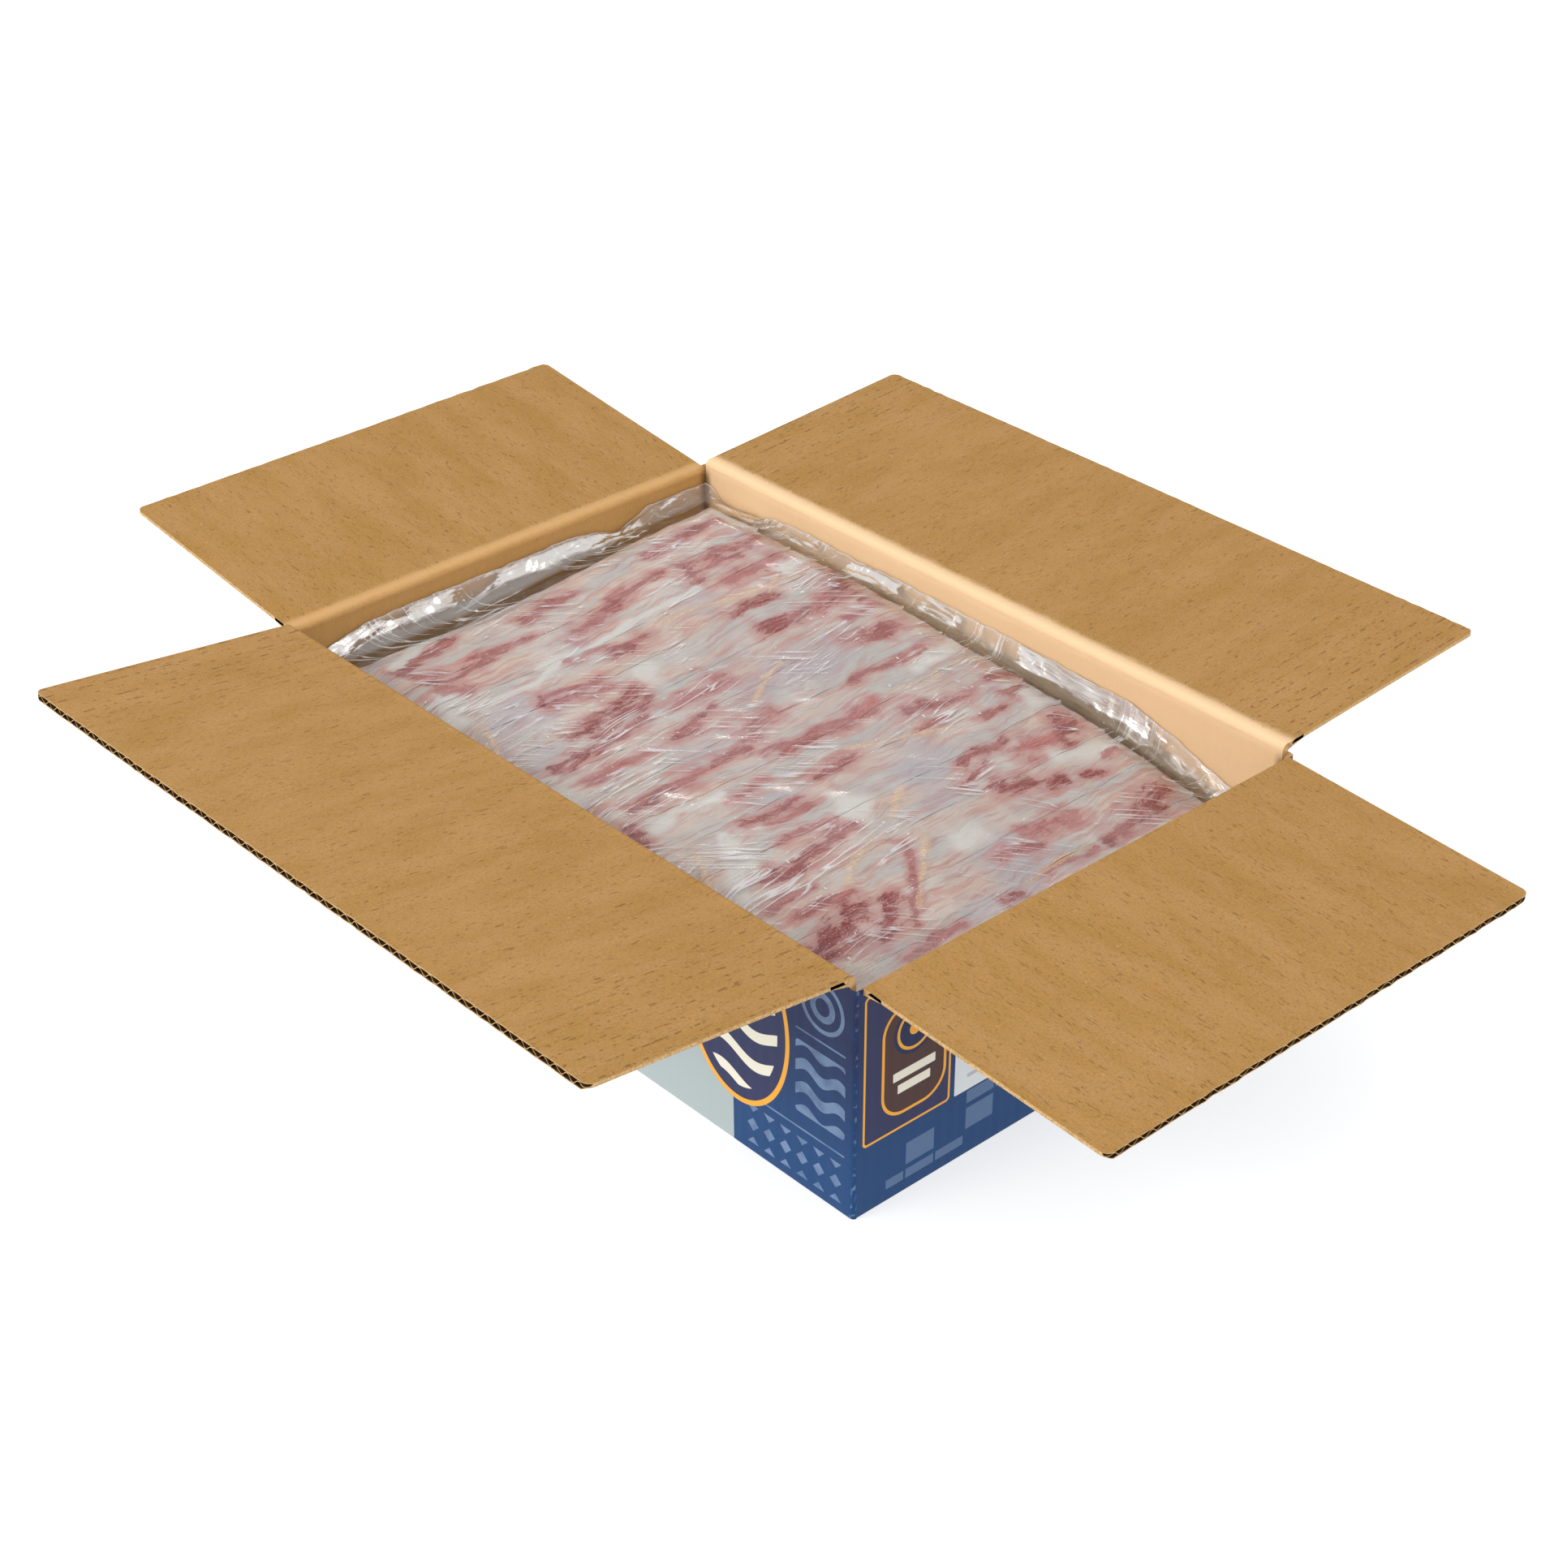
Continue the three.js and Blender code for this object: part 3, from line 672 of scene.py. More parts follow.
def fold_mesh(side):
    """A closed strip over the crease. Its upper side follows the wall's inner face, a quarter circle
    of the board's thickness about the axis, and the flap's top; its lower side stays by the axis.
    Where the flap turns past 180 degrees, one flat row of faces stands in for the quarter circle."""
    away, middle, width, _, tilt = FLAPS[side]
    level = np.array([*away, 0.0])
    up = np.array([0.0, 0.0, 1.0])
    point, round_way, _, _ = fold_axes(side)
    across = np.concatenate([[0, 1], np.linspace(3, width - 3, int(width / 6)), [width - 1, width]])
    across = across - width / 2
    last = np.pi / 2 + math.radians(tilt)
    rise = np.linspace(-ROLL_RUN, 0, 9)[:-1]
    turn = np.linspace(0, last, 2 if past_half_turn(side) else 15)
    run = np.linspace(0, ROLL_RUN, 9)[1:]
    radius = BOARD + ROLL_LIFT + ROLL * np.sin(np.pi * turn / last)
    sunk_wall = BOARD + ROLL_LIFT * (1 - 3 * step(-rise, BOARD, ROLL_RUN))
    sunk_flap = BOARD + ROLL_LIFT * (1 - 3 * step(run, BOARD, ROLL_RUN))
    on_flap = -sunk_flap * np.cos(last) + run * np.sin(last)
    outward = np.concatenate([-sunk_wall, -radius * np.cos(turn), on_flap])
    upward = np.concatenate([rise, radius * np.sin(turn), sunk_flap * np.sin(last) - run * np.cos(last)])
    share = np.linspace(0, 1, len(outward))
    inner_out = np.interp(share, [0, 0.35, 0.65, 1], [-2.0, -0.4, 2 * CREASE, ROLL_RUN * math.sin(last)])
    inner_up = np.interp(share, [0, 0.35, 0.65, 1],
                         [-ROLL_RUN, -2 * CREASE, 0.4, 2.0 - ROLL_RUN * math.cos(last)])
    crumple = 0.06 * ripples(across[None, :], 4 * np.arange(len(outward))[:, None], 14.0, 71 + len(side))
    crumple = crumple * np.sin(np.pi * share)[:, None]

    def grid(outs, ups, bump):
        swell = 1 + bump / BOARD
        return (point + across[None, :, None] * round_way
                + (outs[:, None] * swell)[..., None] * level + (ups[:, None] * swell)[..., None] * up)

    upper, lower = grid(outward, upward, crumple), grid(inner_out, inner_up, 0 * crumple)
    length = np.concatenate([[0], np.cumsum(np.hypot(np.diff(outward), np.diff(upward)))])
    bend = length[-1] - 2 * ROLL_RUN
    on_blank = np.interp(length, [0, ROLL_RUN, ROLL_RUN + bend, 2 * ROLL_RUN + bend],
                         [point[2] - ROLL_RUN, point[2], FOLD_HEIGHT, FOLD_HEIGHT + ROLL_RUN])
    blank = np.stack(np.broadcast_arrays(middle + across[None, :], on_blank[:, None], 0.0), axis=2)
    quads, faces = slab_quads(len(outward), len(across))
    points = np.concatenate([upper.reshape(-1, 3), lower.reshape(-1, 3)])
    return points, quads[:, ::-1], faces, np.concatenate([blank.reshape(-1, 3)] * 2)


for side, (away, _, _, _, tilt) in FLAPS.items():
    points, quads, faces, blank = fold_mesh(side)
    finishes = [kraft_wall, printed, cut_edge]
    roll = make_piece(f"fold_{side}", points, quads, finishes, faces, blank, sharp=50.0)
    point, _, out_way, rise_way = fold_axes(side)
    # Two points a little either side of the fold, very close together where the flap turns past 180 degrees;
    # nothing here uses them. A blend takes the short way round, so past 180 degrees nothing may lie between
    # its two ends
    spread = 0.1 if past_half_turn(side) else BOARD
    start = point - spread * np.array([*away, 0.0]) - [0, 0, spread]
    end = point + spread * (out_way + rise_way)
    tuple(start * MM)
    tuple(end * MM)
    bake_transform(roll)

# Bacon stack
# Closed sheets of slices fill the case below the top layer. Only their edges could be seen, past the
# film in the gap beside the walls, as thin wavy layers of fat and lean.
FILM_DEPTH = 22.0
END_DROP = 15.0
DROP_START = 80.0
BACK_RISE = 11.0
BACON_LEFT, BACON_RIGHT, BACON_REACH, BACON_SHIFT = -196.0, 200.0, 128.0, 2.5
SLICE_COUNT = 13
SLICE_WIDTH = 45.0
SLICE_THICKNESS = 2.4
SLICE_PITCH = (BACON_RIGHT - BACON_LEFT - SLICE_WIDTH) / (SLICE_COUNT - 1)
SLICE_SLOPE = (SLICE_THICKNESS + 0.5) / SLICE_PITCH
EDGE_ROUND = 3.0
ROUND_WIDTH = 16.0
LAYER_DEPTH = SLICE_SLOPE * SLICE_WIDTH + SLICE_THICKNESS + 1.8
STACK_INSET = 2.0
FLOOR = 2 * BOARD


def piled_share(x, y):
    """How far the bacon is piled up: 1 towards the back left corner, 0 at the right and the front."""
    return (1 - step(x, -100, 120)) * step(y, -40, 130)


def film_level(x, y):
    """The height of the film on the bacon: level, falling to the right, higher towards the back left
    corner, and rounded down along the bacon's edges."""
    drop = END_DROP * step(x, DROP_START, BACON_RIGHT) - BACK_RISE * piled_share(x, y)
    near_end = np.maximum(step(x, BACON_RIGHT - ROUND_WIDTH, BACON_RIGHT),
                          1 - step(x, BACON_LEFT, BACON_LEFT + ROUND_WIDTH))
    near_side = step(np.abs(y - BACON_SHIFT), BACON_REACH - ROUND_WIDTH, BACON_REACH)
    return FOLD_HEIGHT - FILM_DEPTH - drop - EDGE_ROUND * np.maximum(near_side, near_end)


def stack_mesh():
    """A block whose top follows the bacon's level. Each side swells out by a small arc at every
    layer, three or four millimetres thick."""
    corners = 24
    turn = np.linspace(0, 2 * np.pi, 4 * corners, endpoint=False)
    power = 0.12
    x = np.sign(np.cos(turn)) * np.abs(np.cos(turn)) ** power
    y = np.sign(np.sin(turn)) * np.abs(np.sin(turn)) ** power
    half_x = (BACON_RIGHT - BACON_LEFT) / 2 - STACK_INSET
    middle = (BACON_RIGHT + BACON_LEFT) / 2
    half_y = BACON_REACH - STACK_INSET
    rings = []
    for shrink in np.linspace(0.0, 0.98, 6):
        flat_x, flat_y = middle + x * half_x * shrink, BACON_SHIFT + y * half_y * shrink
        rings.append(np.stack([flat_x, flat_y, 0 * x + FLOOR + 0.3], axis=1))
    for share in np.linspace(0, 1, 100):
        swell = 0.5 * abs(math.sin(share * 24 * math.pi)) - 0.6
        edge_x, edge_y = middle + x * (half_x + swell), BACON_SHIFT + y * (half_y + swell)
        top = film_level(edge_x, edge_y) - LAYER_DEPTH - 1.1
        rings.append(np.stack([edge_x, edge_y, FLOOR + 0.3 + share * (top - FLOOR - 0.3)], axis=1))
    for shrink in np.linspace(0.98, 0.0, 14):
        cap_x, cap_y = middle + x * half_x * shrink, BACON_SHIFT + y * half_y * shrink
        rings.append(np.stack([cap_x, cap_y, film_level(cap_x, cap_y) - LAYER_DEPTH - 1.1], axis=1))
    return np.array(rings)


def bacon_finish(name):
    """Raw bacon. The lean lies where the point attribute says, its edges frayed by noise stretched
    along the slice, with pale threads in it and bright specks that are painted glints. The fat round
    it runs in long soft bands, white, tan and pink, and rind and membrane show as cream strips."""
    finish = Finish(name)
    field, tone, cover = finish.axes(finish.attribute("meat"))
    place = finish.node("ShaderNodeTexCoord", output="Object")
    x, y, z = finish.axes(place)
    bend = x + (finish.noise(finish.vector(x * 14, y * 20, z * 12), 1.0, 3.0) - 0.5) * 0.022

    def streaked(across, along, seed, detail=3.0, rough=0.6, twist=0.3):
        """Noise stretched along the slices, which wander a little."""
        return finish.noise(finish.vector(bend * across, y * along, seed), 1.0, detail, rough, twist)

    bands = streaked(75, 9, 1.0, 3.0, 0.5)
    strands = streaked(190, 20, 2.0, 4.0, 0.6)
    threads = streaked(480, 48, 3.0, 3.0, 0.6)
    frayed = streaked(260, 110, 4.0, 5.0, 0.7, 0.6)
    fine = streaked(1000, 420, 5.0, 3.0, 0.7, 0.5)
    painted_glints = streaked(1500, 900, 6.0, 2.0, 0.6, 0.5)
    clouds = finish.noise(place, 34.0, 4.0, 0.6)
    haze = finish.noise(finish.vector(x, y, 7.0), 15.0, 2.0, 0.5)
    white = (cover * -1).above(0.0, 0.8)
    rind = (cover + (frayed - 0.5) * 2.0 + (strands - 0.5) * 1.6 + (fine - 0.5) * 0.8).above(0.35, 1.35)
    plain = 1 - white * 0.85
    color = finish.mix(bands.above(0.4, 0.6), "#b5b0ab", "#c6ae9f")
    color = finish.mix(clouds.above(0.45, 0.65) * 0.6, color, "#cdc3ba")
    color = finish.mix(strands.above(0.5, 0.62) * plain * 0.6, color, "#b98379")
    color = finish.mix(threads.above(0.52, 0.64) * plain * 0.4, color, "#a86e67")
    color = finish.mix(haze.above(0.52, 0.66) * 0.4, color, "#a09aaa")
    color = finish.mix(inside_oval(x, y, (20, 25), (130, 85), 0.6) * 0.16, color, "#8d868c")
    near = (field + (strands - 0.5) * 2.6 + (bands - 0.5) * 1.5).above(-1.4, 0.2)
    color = finish.mix(near * plain * 0.6, color, "#b27470")
    color = finish.mix(white * 0.8, color, "#cdcac4")
    shape = field + (frayed - 0.5) * 2.6 + (strands - 0.5) * 1.8 + (fine - 0.5) * 1.5
    lean = shape.above(-0.05, 0.7)
    meat = finish.mix(tone.above(0.2, 0.9), "#9e4848", "#7e1a1b")
    meat = finish.mix(frayed.above(0.5, 0.66) * 0.6, meat, "#5c0c0d")
    meat = finish.mix(clouds.above(0.48, 0.62) * 0.4, meat, "#b07470")
    meat = finish.mix(threads.above(0.52, 0.62) * 0.6, meat, "#b9746c")
    # Painted glints: small bright specks in the lean stand for highlights.
    meat = finish.mix(painted_glints.above(0.6, 0.7) * 0.8, meat, "#dcbdb5")
    color = finish.mix(lean * (tone * 0.45 + 0.55), color, meat)
    color = finish.mix(rind * 0.6, color, "#cdac8a")
    color = finish.mix(rind * fine.above(0.5, 0.62) * 0.5, color, "#e2cfb6")
    relief = (strands * 1.1 + frayed * 0.5 + fine * 0.25 + threads * 0.4 + rind * 0.2) * MM
    normal = finish.bump(relief, 1.0)
    return finish.done(finish.surface(color, 0.42, normal, Specular_IOR_Level=0.4))


bacon = bacon_finish("bacon")
rings = stack_mesh()
shape = rings.shape[:2]
stack_quads = grid_quads(np.arange(shape[0] * shape[1]).reshape(shape), wrap_columns=True)
stack = make_piece("bacon_layers", rings.reshape(-1, 3), stack_quads, [bacon])
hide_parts("bacon_stack")
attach(stack, "filled_case")

# Slices
# The top layer: thirteen slices laid side by side across the case, each lapped over the next. A
# slice is a long strip of fat with streaks of lean, and its rind shows as a cream edge.
STREAKS = np.array([
    # start x and y, end x and y, half width, depth of colour
    (-173, 117, -171, 66, 4.6, 0.62), (-141, 137, -141, 108, 7.5, 0.7), (-142, 108, -146, 92, 7.0, 0.6),
    (-136, 98, -138, 68, 4.5, 0.6), (-149, 72, -135, 66, 5.5, 0.65), (-120, 112, -118, 78, 6.0, 0.25),
    (-87, 134, -72, 116, 8.5, 0.9), (-68, 109, -66, 88, 8.0, 0.45), (-66, 84, -69, 60, 7.0, 0.85),
    (-89, 84, -91, 60, 5.5, 0.95), (-57, 137, -54, 112, 3.0, 0.5), (-46, 118, -45, 96, 3.5, 0.3),
    (-25, 110, -23, 98, 6.5, 0.75), (-24, 98, -33, 80, 5.0, 0.6), (1, 104, -1, 58, 4.4, 0.55),
    (41, 125, 44, 114, 4.2, 0.65), (58, 122, 60, 110, 4.0, 0.7), (67, 98, 65, 86, 4.2, 0.75),
    (47, 90, 36, 60, 5.5, 0.8), (53, 70, 56, 52, 2.8, 0.4), (93, 115, 104, 101, 7.5, 0.75),
    (103, 98, 99, 78, 7.0, 0.3), (88, 76, 88, 48, 5.5, 0.75), (98, 56, 104, 34, 3.4, 0.8),
    (125, 120, 125, 109, 3.0, 0.4), (134, 100, 132, 90, 3.8, 0.85), (125, 79, 123, 70, 4.4, 0.95),
    (119, 64, 115, 48, 6.5, 0.85), (160, 114, 165, 100, 8.0, 0.8), (167, 95, 171, 64, 5.5, 0.6),
    (149, 64, 146, 34, 6.0, 0.35), (154, 32, 151, 12, 4.6, 0.5), (171, 54, 170, 22, 3.0, 0.3),
    (-154, 58, -150, 28, 3.6, 0.6), (-148, 26, -145, 14, 4.5, 0.7), (-141, 8, -140, -12, 6.5, 0.55),
    (-158, 34, -155, 22, 3.4, 0.4), (-173, 10, -171, -22, 5.2, 0.6), (-110, 8, -111, -10, 6.0, 0.7),
    (-119, -10, -121, -34, 3.6, 0.35), (-51, 8, -48, -18, 6.5, 0.5), (-73, -27, -60, -78, 6.0, 1.0),
    (-63, -27, -51, -72, 5.0, 1.0), (-49, -40, -37, -98, 3.8, 0.9), (-43, -90, -42, -104, 4.6, 0.8),
    (-33, -10, -26, -42, 4.0, 0.8), (-12, 10, -1, -12, 6.5, 0.5), (20, 52, 24, 26, 5.6, 0.4),
    (21, 24, 22, -10, 4.8, 0.6), (16, -6, 15, -20, 3.4, 0.6), (49, 10, 51, -14, 5.4, 0.6),
    (7, -22, 9, -46, 4.2, 0.75), (8, -50, 10, -70, 4.0, 0.4), (11, -76, 13, -102, 4.4, 0.7),
    (-95, -33, -98, -68, 4.4, 0.5), (-86, -33, -89, -70, 4.0, 0.4), (-101, -66, -92, -72, 2.8, 0.8),
    (-155, -30, -155, -68, 4.2, 0.55), (-148, -60, -147, -100, 3.8, 0.65), (-179, -66, -169, -106, 4.6, 0.75),
    (-158, -88, -158, -102, 4.6, 0.45), (-132, -92, -138, -100, 7.0, 0.25), (-23, -64, -23, -100, 4.4, 0.35),
    (36, -34, 38, -64, 3.2, 0.4), (59, -34, 59, -70, 4.4, 0.65), (67, -36, 66, -62, 3.4, 0.4),
    (82, -34, 81, -68, 3.6, 0.3), (94, -32, 102, -94, 4.8, 0.8), (115, -78, 116, -106, 3.2, 0.45),
    (128, -66, 127, -96, 3.6, 0.5), (143, -52, 160, -75, 5.6, 1.0), (141, -72, 152, -110, 8.0, 1.0),
    (119, -20, 163, -56, 2.8, 0.55), (174, -0, 174, -10, 3.8, 0.7), (174, -40, 177, -76, 3.6, 0.4),
    (24, -112, 45, -121, 5.0, 0.95), (-1, -115, 2, -119, 4.0, 0.6), (-190, 139, -182, 132, 4.0, 0.5),
])
WHITES = np.array([
    # start x and y, end x and y, half width
    (-82, -10, -80, -14, 13.0), (129, 10, 130, 6, 12.0), (79, -20, 82, -22, 16.0),
    (-128, -104, -112, -112, 12.0), (76, -92, 82, -94, 13.0), (-24, -116, -16, -118, 9.0),
    (32, -94, 34, -104, 8.0), (-126, 60, -124, -50, 5.0), (60, 118, 74, 118, 9.0),
    (6, 126, 12, 92, 7.0), (120, 120, 116, 90, 9.0), (186, 110, 186, 60, 8.0),
    (-108, 118, -104, 104, 8.0), (196, 30, 196, -90, 8.0), (-182, 124, -150, 128, 6.0),
    (30, -60, 28, -90, 5.0), (-110, -97, -117, -57, 4.0), (-117, -57, -125, -13, 4.0),
    (-188, -70, -176, -106, 5.0), (60, -84, 104, -110, 7.0),
])
TOP_GAP = 1.9
SLICE_NARROWING = 3.5
RINDS = np.array([
    # start x and y, end x and y, half width
    (-101, 80, -118, 20, 3.0), (-40, 42, -23, 8, 2.4), (62, 66, 43, 14, 2.8), (24, 124, 20, 62, 2.6),
    (85, 10, 100, -12, 2.6), (104, -32, 124, -62, 2.4), (120, -8, 154, -46, 2.2), (-92, -108, -60, -121, 3.0),
    (64, -106, 92, -120, 3.0), (-6, -80, -2, -118, 2.2), (168, 52, 170, 6, 2.0), (-104, 100, -92, 84, 2.0),
])


def along_strips(x, y, strips, seed):
    """How far a point lies inside the nearest of some straight strips: 1 on its middle line, 0 at its
    edge and negative outside. Ripples bend the strips and make their width waver. Also gives that
    strip's number."""
    start, end, half = strips[:, 0:2], strips[:, 2:4], strips[:, 4]
    x = x + 1.5 * ripples(x, y, 34.0, seed + 20)
    way = end - start
    point = np.stack([x, y], axis=-1)[..., None, :] - start
    share = np.clip((point * way).sum(-1) / (way ** 2).sum(-1), 0, 1)
    gap = np.linalg.norm(point - share[..., None] * way, axis=-1)
    waver = 1 + 0.28 * ripples(x, y, 17.0, seed)[..., None]
    inside = 1 - gap / (half * waver)
    return inside.max(axis=-1), inside.argmax(axis=-1)


def meat_values(x, y):
    """The lean's field, its depth of colour, and the fields of rind and of white fat in one value:
    rind above zero, white fat below."""
    lean, nearest = along_strips(x, y, STREAKS, 5)
    rind, _ = along_strips(x, y, RINDS, 6)
    white, _ = along_strips(x, y, WHITES, 7)
    cover = np.where(rind > -0.5, rind + 0.5, -np.clip(white, 0, 1))
    return np.stack([lean, STREAKS[nearest, 5], cover], axis=-1)


def slice_edges(number, y):
    """The left and the right edge of a slice at a place along it: straight lines that wander inwards
    by a sine, and come in a little at the ends."""
    reach = slice_reach(number)
    share = np.clip((y - BACON_SHIFT) / reach, -1, 1)
    turn = 3.5 * (share + 1)
    left = BACON_LEFT + number * SLICE_PITCH
    narrowing = SLICE_NARROWING * np.maximum(0, 1 - (1 - np.abs(share)) / 0.05) ** 2
    start = left + np.maximum(0, 2.5 * np.sin(turn + 1.7 * number)) + narrowing
    stop = left + SLICE_WIDTH + np.minimum(0, 2.5 * np.sin(turn + 2.9 * number)) - narrowing
    return start, stop


def slice_reach(number):
    return BACON_REACH - 2 * abs(math.sin(2.3 * number))


def bacon_lumps(x, y):
    """Relief that runs on from slice to slice: streaky ripples, broad swellings, and strips of rind
    that stand proud."""
    rind, _ = along_strips(x, y, RINDS, 6)
    streaky = 0.34 * ripples(2.8 * x, 0.6 * y, 26.0, 100, 9) + 0.16 * ripples(2.2 * x, 0.8 * y, 9.0, 101, 9)
    return streaky + 0.32 * ripples(x, y, 30.0, 140) + 0.2 * np.clip(rind, 0, 1)


def slice_under(number, x, y):
    """A slice's underside: an even slope up to the right."""
    left = BACON_LEFT + number * SLICE_PITCH
    return film_level(x, y) - LAYER_DEPTH + SLICE_SLOPE * (x - left)


def slice_top(number, x, y):
    """A slice's top: below the slice on its left it keeps to the slope, then climbs by a smooth step
    that ends just past that slice's edge, and goes on under the film, level with its neighbours."""
    covered = slice_under(number, x, y) + SLICE_THICKNESS
    if number > 0:
        _, neighbour = slice_edges(number - 1, y)
        climb = step(x - neighbour, -4, 0.4)
    else:
        climb = step(x - BACON_LEFT, 0.5, 6)
    full = film_level(x, y) - TOP_GAP + bacon_lumps(x, y)
    return covered + (full - covered) * climb


def slice_grids(number, columns=44, rows=190):
    """One slice as an upper and a lower grid. The lower one follows its own slope, and near its right
    edge the climbing top of the next slice, so that the edge thins out to a lip. Its sides and ends
    are rounded by a quarter ellipse."""
    across = 0.5 - 0.5 * np.cos(np.linspace(0, np.pi, columns))
    t = np.linspace(-1, 1, rows)
    along = 1.25 * t - 0.25 * t ** 3
    u, v = np.meshgrid(across, along)
    reach = slice_reach(number)
    y = BACON_SHIFT + reach * v
    start, stop = slice_edges(number, y)
    x = start + (stop - start) * u
    top = slice_top(number, x, y)
    under = slice_under(number, x, y)
    if number < SLICE_COUNT - 1:
        next_start, _ = slice_edges(number + 1, y)
        under = np.maximum(under, np.where(x > next_start, slice_top(number + 1, x, y) + 0.04, under))
    under = np.minimum(under, top - 0.06)
    side_rim = np.sqrt(1 - (1 - np.clip(np.minimum(x - start, stop - x) / 0.8, 0, 1)) ** 2)
    end_rim = np.sqrt(1 - (1 - np.clip(reach * (1 - np.abs(v)) / 4.0, 0, 1)) ** 2)
    rim = np.minimum(side_rim, end_rim)
    middle = (under + top) / 2
    half = (top - under) / 2 * (0.15 + 0.85 * rim)
    upper = np.stack([x, y, middle + half], axis=2)
    lower = np.stack([x, y, np.maximum(middle - half, under)], axis=2)
    return upper, lower


def add_point_vectors(piece, name, values):
    attribute = piece.data.attributes.new(name, "FLOAT_VECTOR", "POINT")
    attribute.data.foreach_set("vector", values.astype(np.float32).ravel())


for number in range(SLICE_COUNT):
    upper, lower = slice_grids(number)
    quads, _ = slab_quads(*upper.shape[:2])
    both = np.concatenate([upper.reshape(-1, 3), lower.reshape(-1, 3)])
    rasher = make_piece(f"rasher_{number + 1:02d}", both, quads, [bacon])
    add_point_vectors(rasher, "meat", meat_values(both[:, 0], both[:, 1]))
    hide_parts(f"slice_{number + 1:02d}")
    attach(rasher, "filled_case")

add_point_vectors(stack, "meat", meat_values(rings.reshape(-1, 3)[:, 0], rings.reshape(-1, 3)[:, 1]))

# Film
# A loose clear bag lies over the bacon. It clings to the slices, sags into the gap beside them in
# pleats, and its edges stand up along the walls, highest in the back left corner.
WALL_GAP = 1.6
TROUGH_DEPTH = 4.0
FILM_THICKNESS = 0.16
# Heights of the film's edge below the rim, along the left and the back wall: the place along the
# wall and the height. A corner of the bag stands up in the back left corner.
HEM_LEFT = np.array([(-141, -22), (-123, -20), (-97, -14), (-71, -13), (6, -13), (40, -12), (60, -15),
                     (74, -20), (84, -16), (98, -11), (141, -10.5)])
HEM_BACK = np.array([(-211, -10.5), (-203, -12), (-196, -19), (-186, -21), (-150, -12.5), (-124, -11),
                     (-85, -12.5), (-60, -11.6), (31, -12.7), (60, -13.6), (116, -15), (144, -22),
                     (182, -34), (211, -36)])

# How strongly the film shines along the same two walls: the place along the wall and the strength
GLEAM_LEFT = np.array([(-141, 0.3), (-110, 0.6), (-72, 0.4), (-66, 0.8), (-45, 0.7), (-38, 0.3), (-12, 0.4),
                       (-4, 1.0), (40, 1.0), (60, 0.7), (82, 0.6), (90, 0.2), (110, 0.4), (141, 0.3)])
GLEAM_BACK = np.array([(-211, 0), (-192, 0.2), (-188, 0.9), (-163, 0.9), (-158, 0), (-134, 0.1), (-128, 0.4),
                       (-98, 0.4), (-88, 0.2), (-84, 1.1), (-52, 0.9), (-46, 0), (-34, 0.1), (-29, 0.5),
                       (-6, 0.5), (0, 0), (34, 0), (44, 1.0), (125, 1.1), (131, 0.2), (180, 0.3),
                       (200, 0.6), (211, 0)])


def hem_height(x, y):
    """The height of the film's edge at the wall nearest to a place."""
    to_wall_x = LENGTH / 2 - BOARD - WALL_GAP - np.abs(x)
    to_wall_y = WIDTH / 2 - BOARD - WALL_GAP - np.abs(y)
    hem_left = np.interp(y, HEM_LEFT[:, 0], HEM_LEFT[:, 1])
    hem_right = -26.0 + 2.0 * ripples(y, 0 * y, 60.0, 209)
    hem_back = np.interp(x, HEM_BACK[:, 0], HEM_BACK[:, 1])
    hem_front = -15.0 - 12.0 * step(x, DROP_START, BACON_RIGHT) + 1.5 * ripples(x, 0 * x, 50.0, 208)
    hem_x = np.where(x < 0, hem_left, hem_right)
    hem_y = np.where(y > 0, hem_back, hem_front)
    share = step(to_wall_y - to_wall_x, -6, 6)
    return FOLD_HEIGHT + hem_x * share + hem_y * (1 - share)


def film_height(x, y):
    """The film's height: on the bacon it bridges the slices, beside it it sags a little, and it
    climbs in a hollow curve to its edge at the wall. Long folds run along the walls: a sine of the
    distance from the wall, bent by slow ripples."""
    to_wall_x = LENGTH / 2 - BOARD - WALL_GAP - np.abs(x)
    to_wall_y = WIDTH / 2 - BOARD - WALL_GAP - np.abs(y)
    to_wall = np.minimum(to_wall_x, to_wall_y)
    hem = hem_height(x, y) + 0.35 * ripples(x, y, 11.0, 212)
    in_trough = 1 - step(to_wall, 3.0, 11)
    foot = 8.0 + 4.0 * (to_wall_x < to_wall_y) * (x < 0)
    slope = np.clip(1 - to_wall / foot, 0, 1) ** 1.7
    bottom = film_level(x, y) - TROUGH_DEPTH * (1 - 0.8 * piled_share(x, y)) * in_trough
    drift = 3.2 * ripples(x, y, 62.0, 214)
    folds = 0.7 * np.sin((to_wall + drift) * 2 * np.pi / 6.5)
    folds = folds + 0.35 * np.sin((to_wall - 2 * drift) * 2 * np.pi / 3.4)
    crinkle = 0.35 * (0.8 - np.abs(ripples(x, y, 16.0, 215)))
    loose = in_trough * step(to_wall, 0, 2)
    cling = -0.9 + 0.4 * ripples(x, y, 26.0, 213)
    height = bottom + (hem - bottom) * slope + (folds + crinkle) * loose + cling * (1 - in_trough)
    return np.minimum(height, SHORT_AXIS - BOARD - 0.4)


def film_steps(half, spacing):
    """Places across the film: close together near the walls, even in the middle."""
    near = np.linspace(0, 14, 22)
    inner = np.linspace(14, 2 * half - 14, int((2 * half - 28) / spacing))[1:-1]
    return np.concatenate([near, inner, 2 * half - near[::-1]]) - half


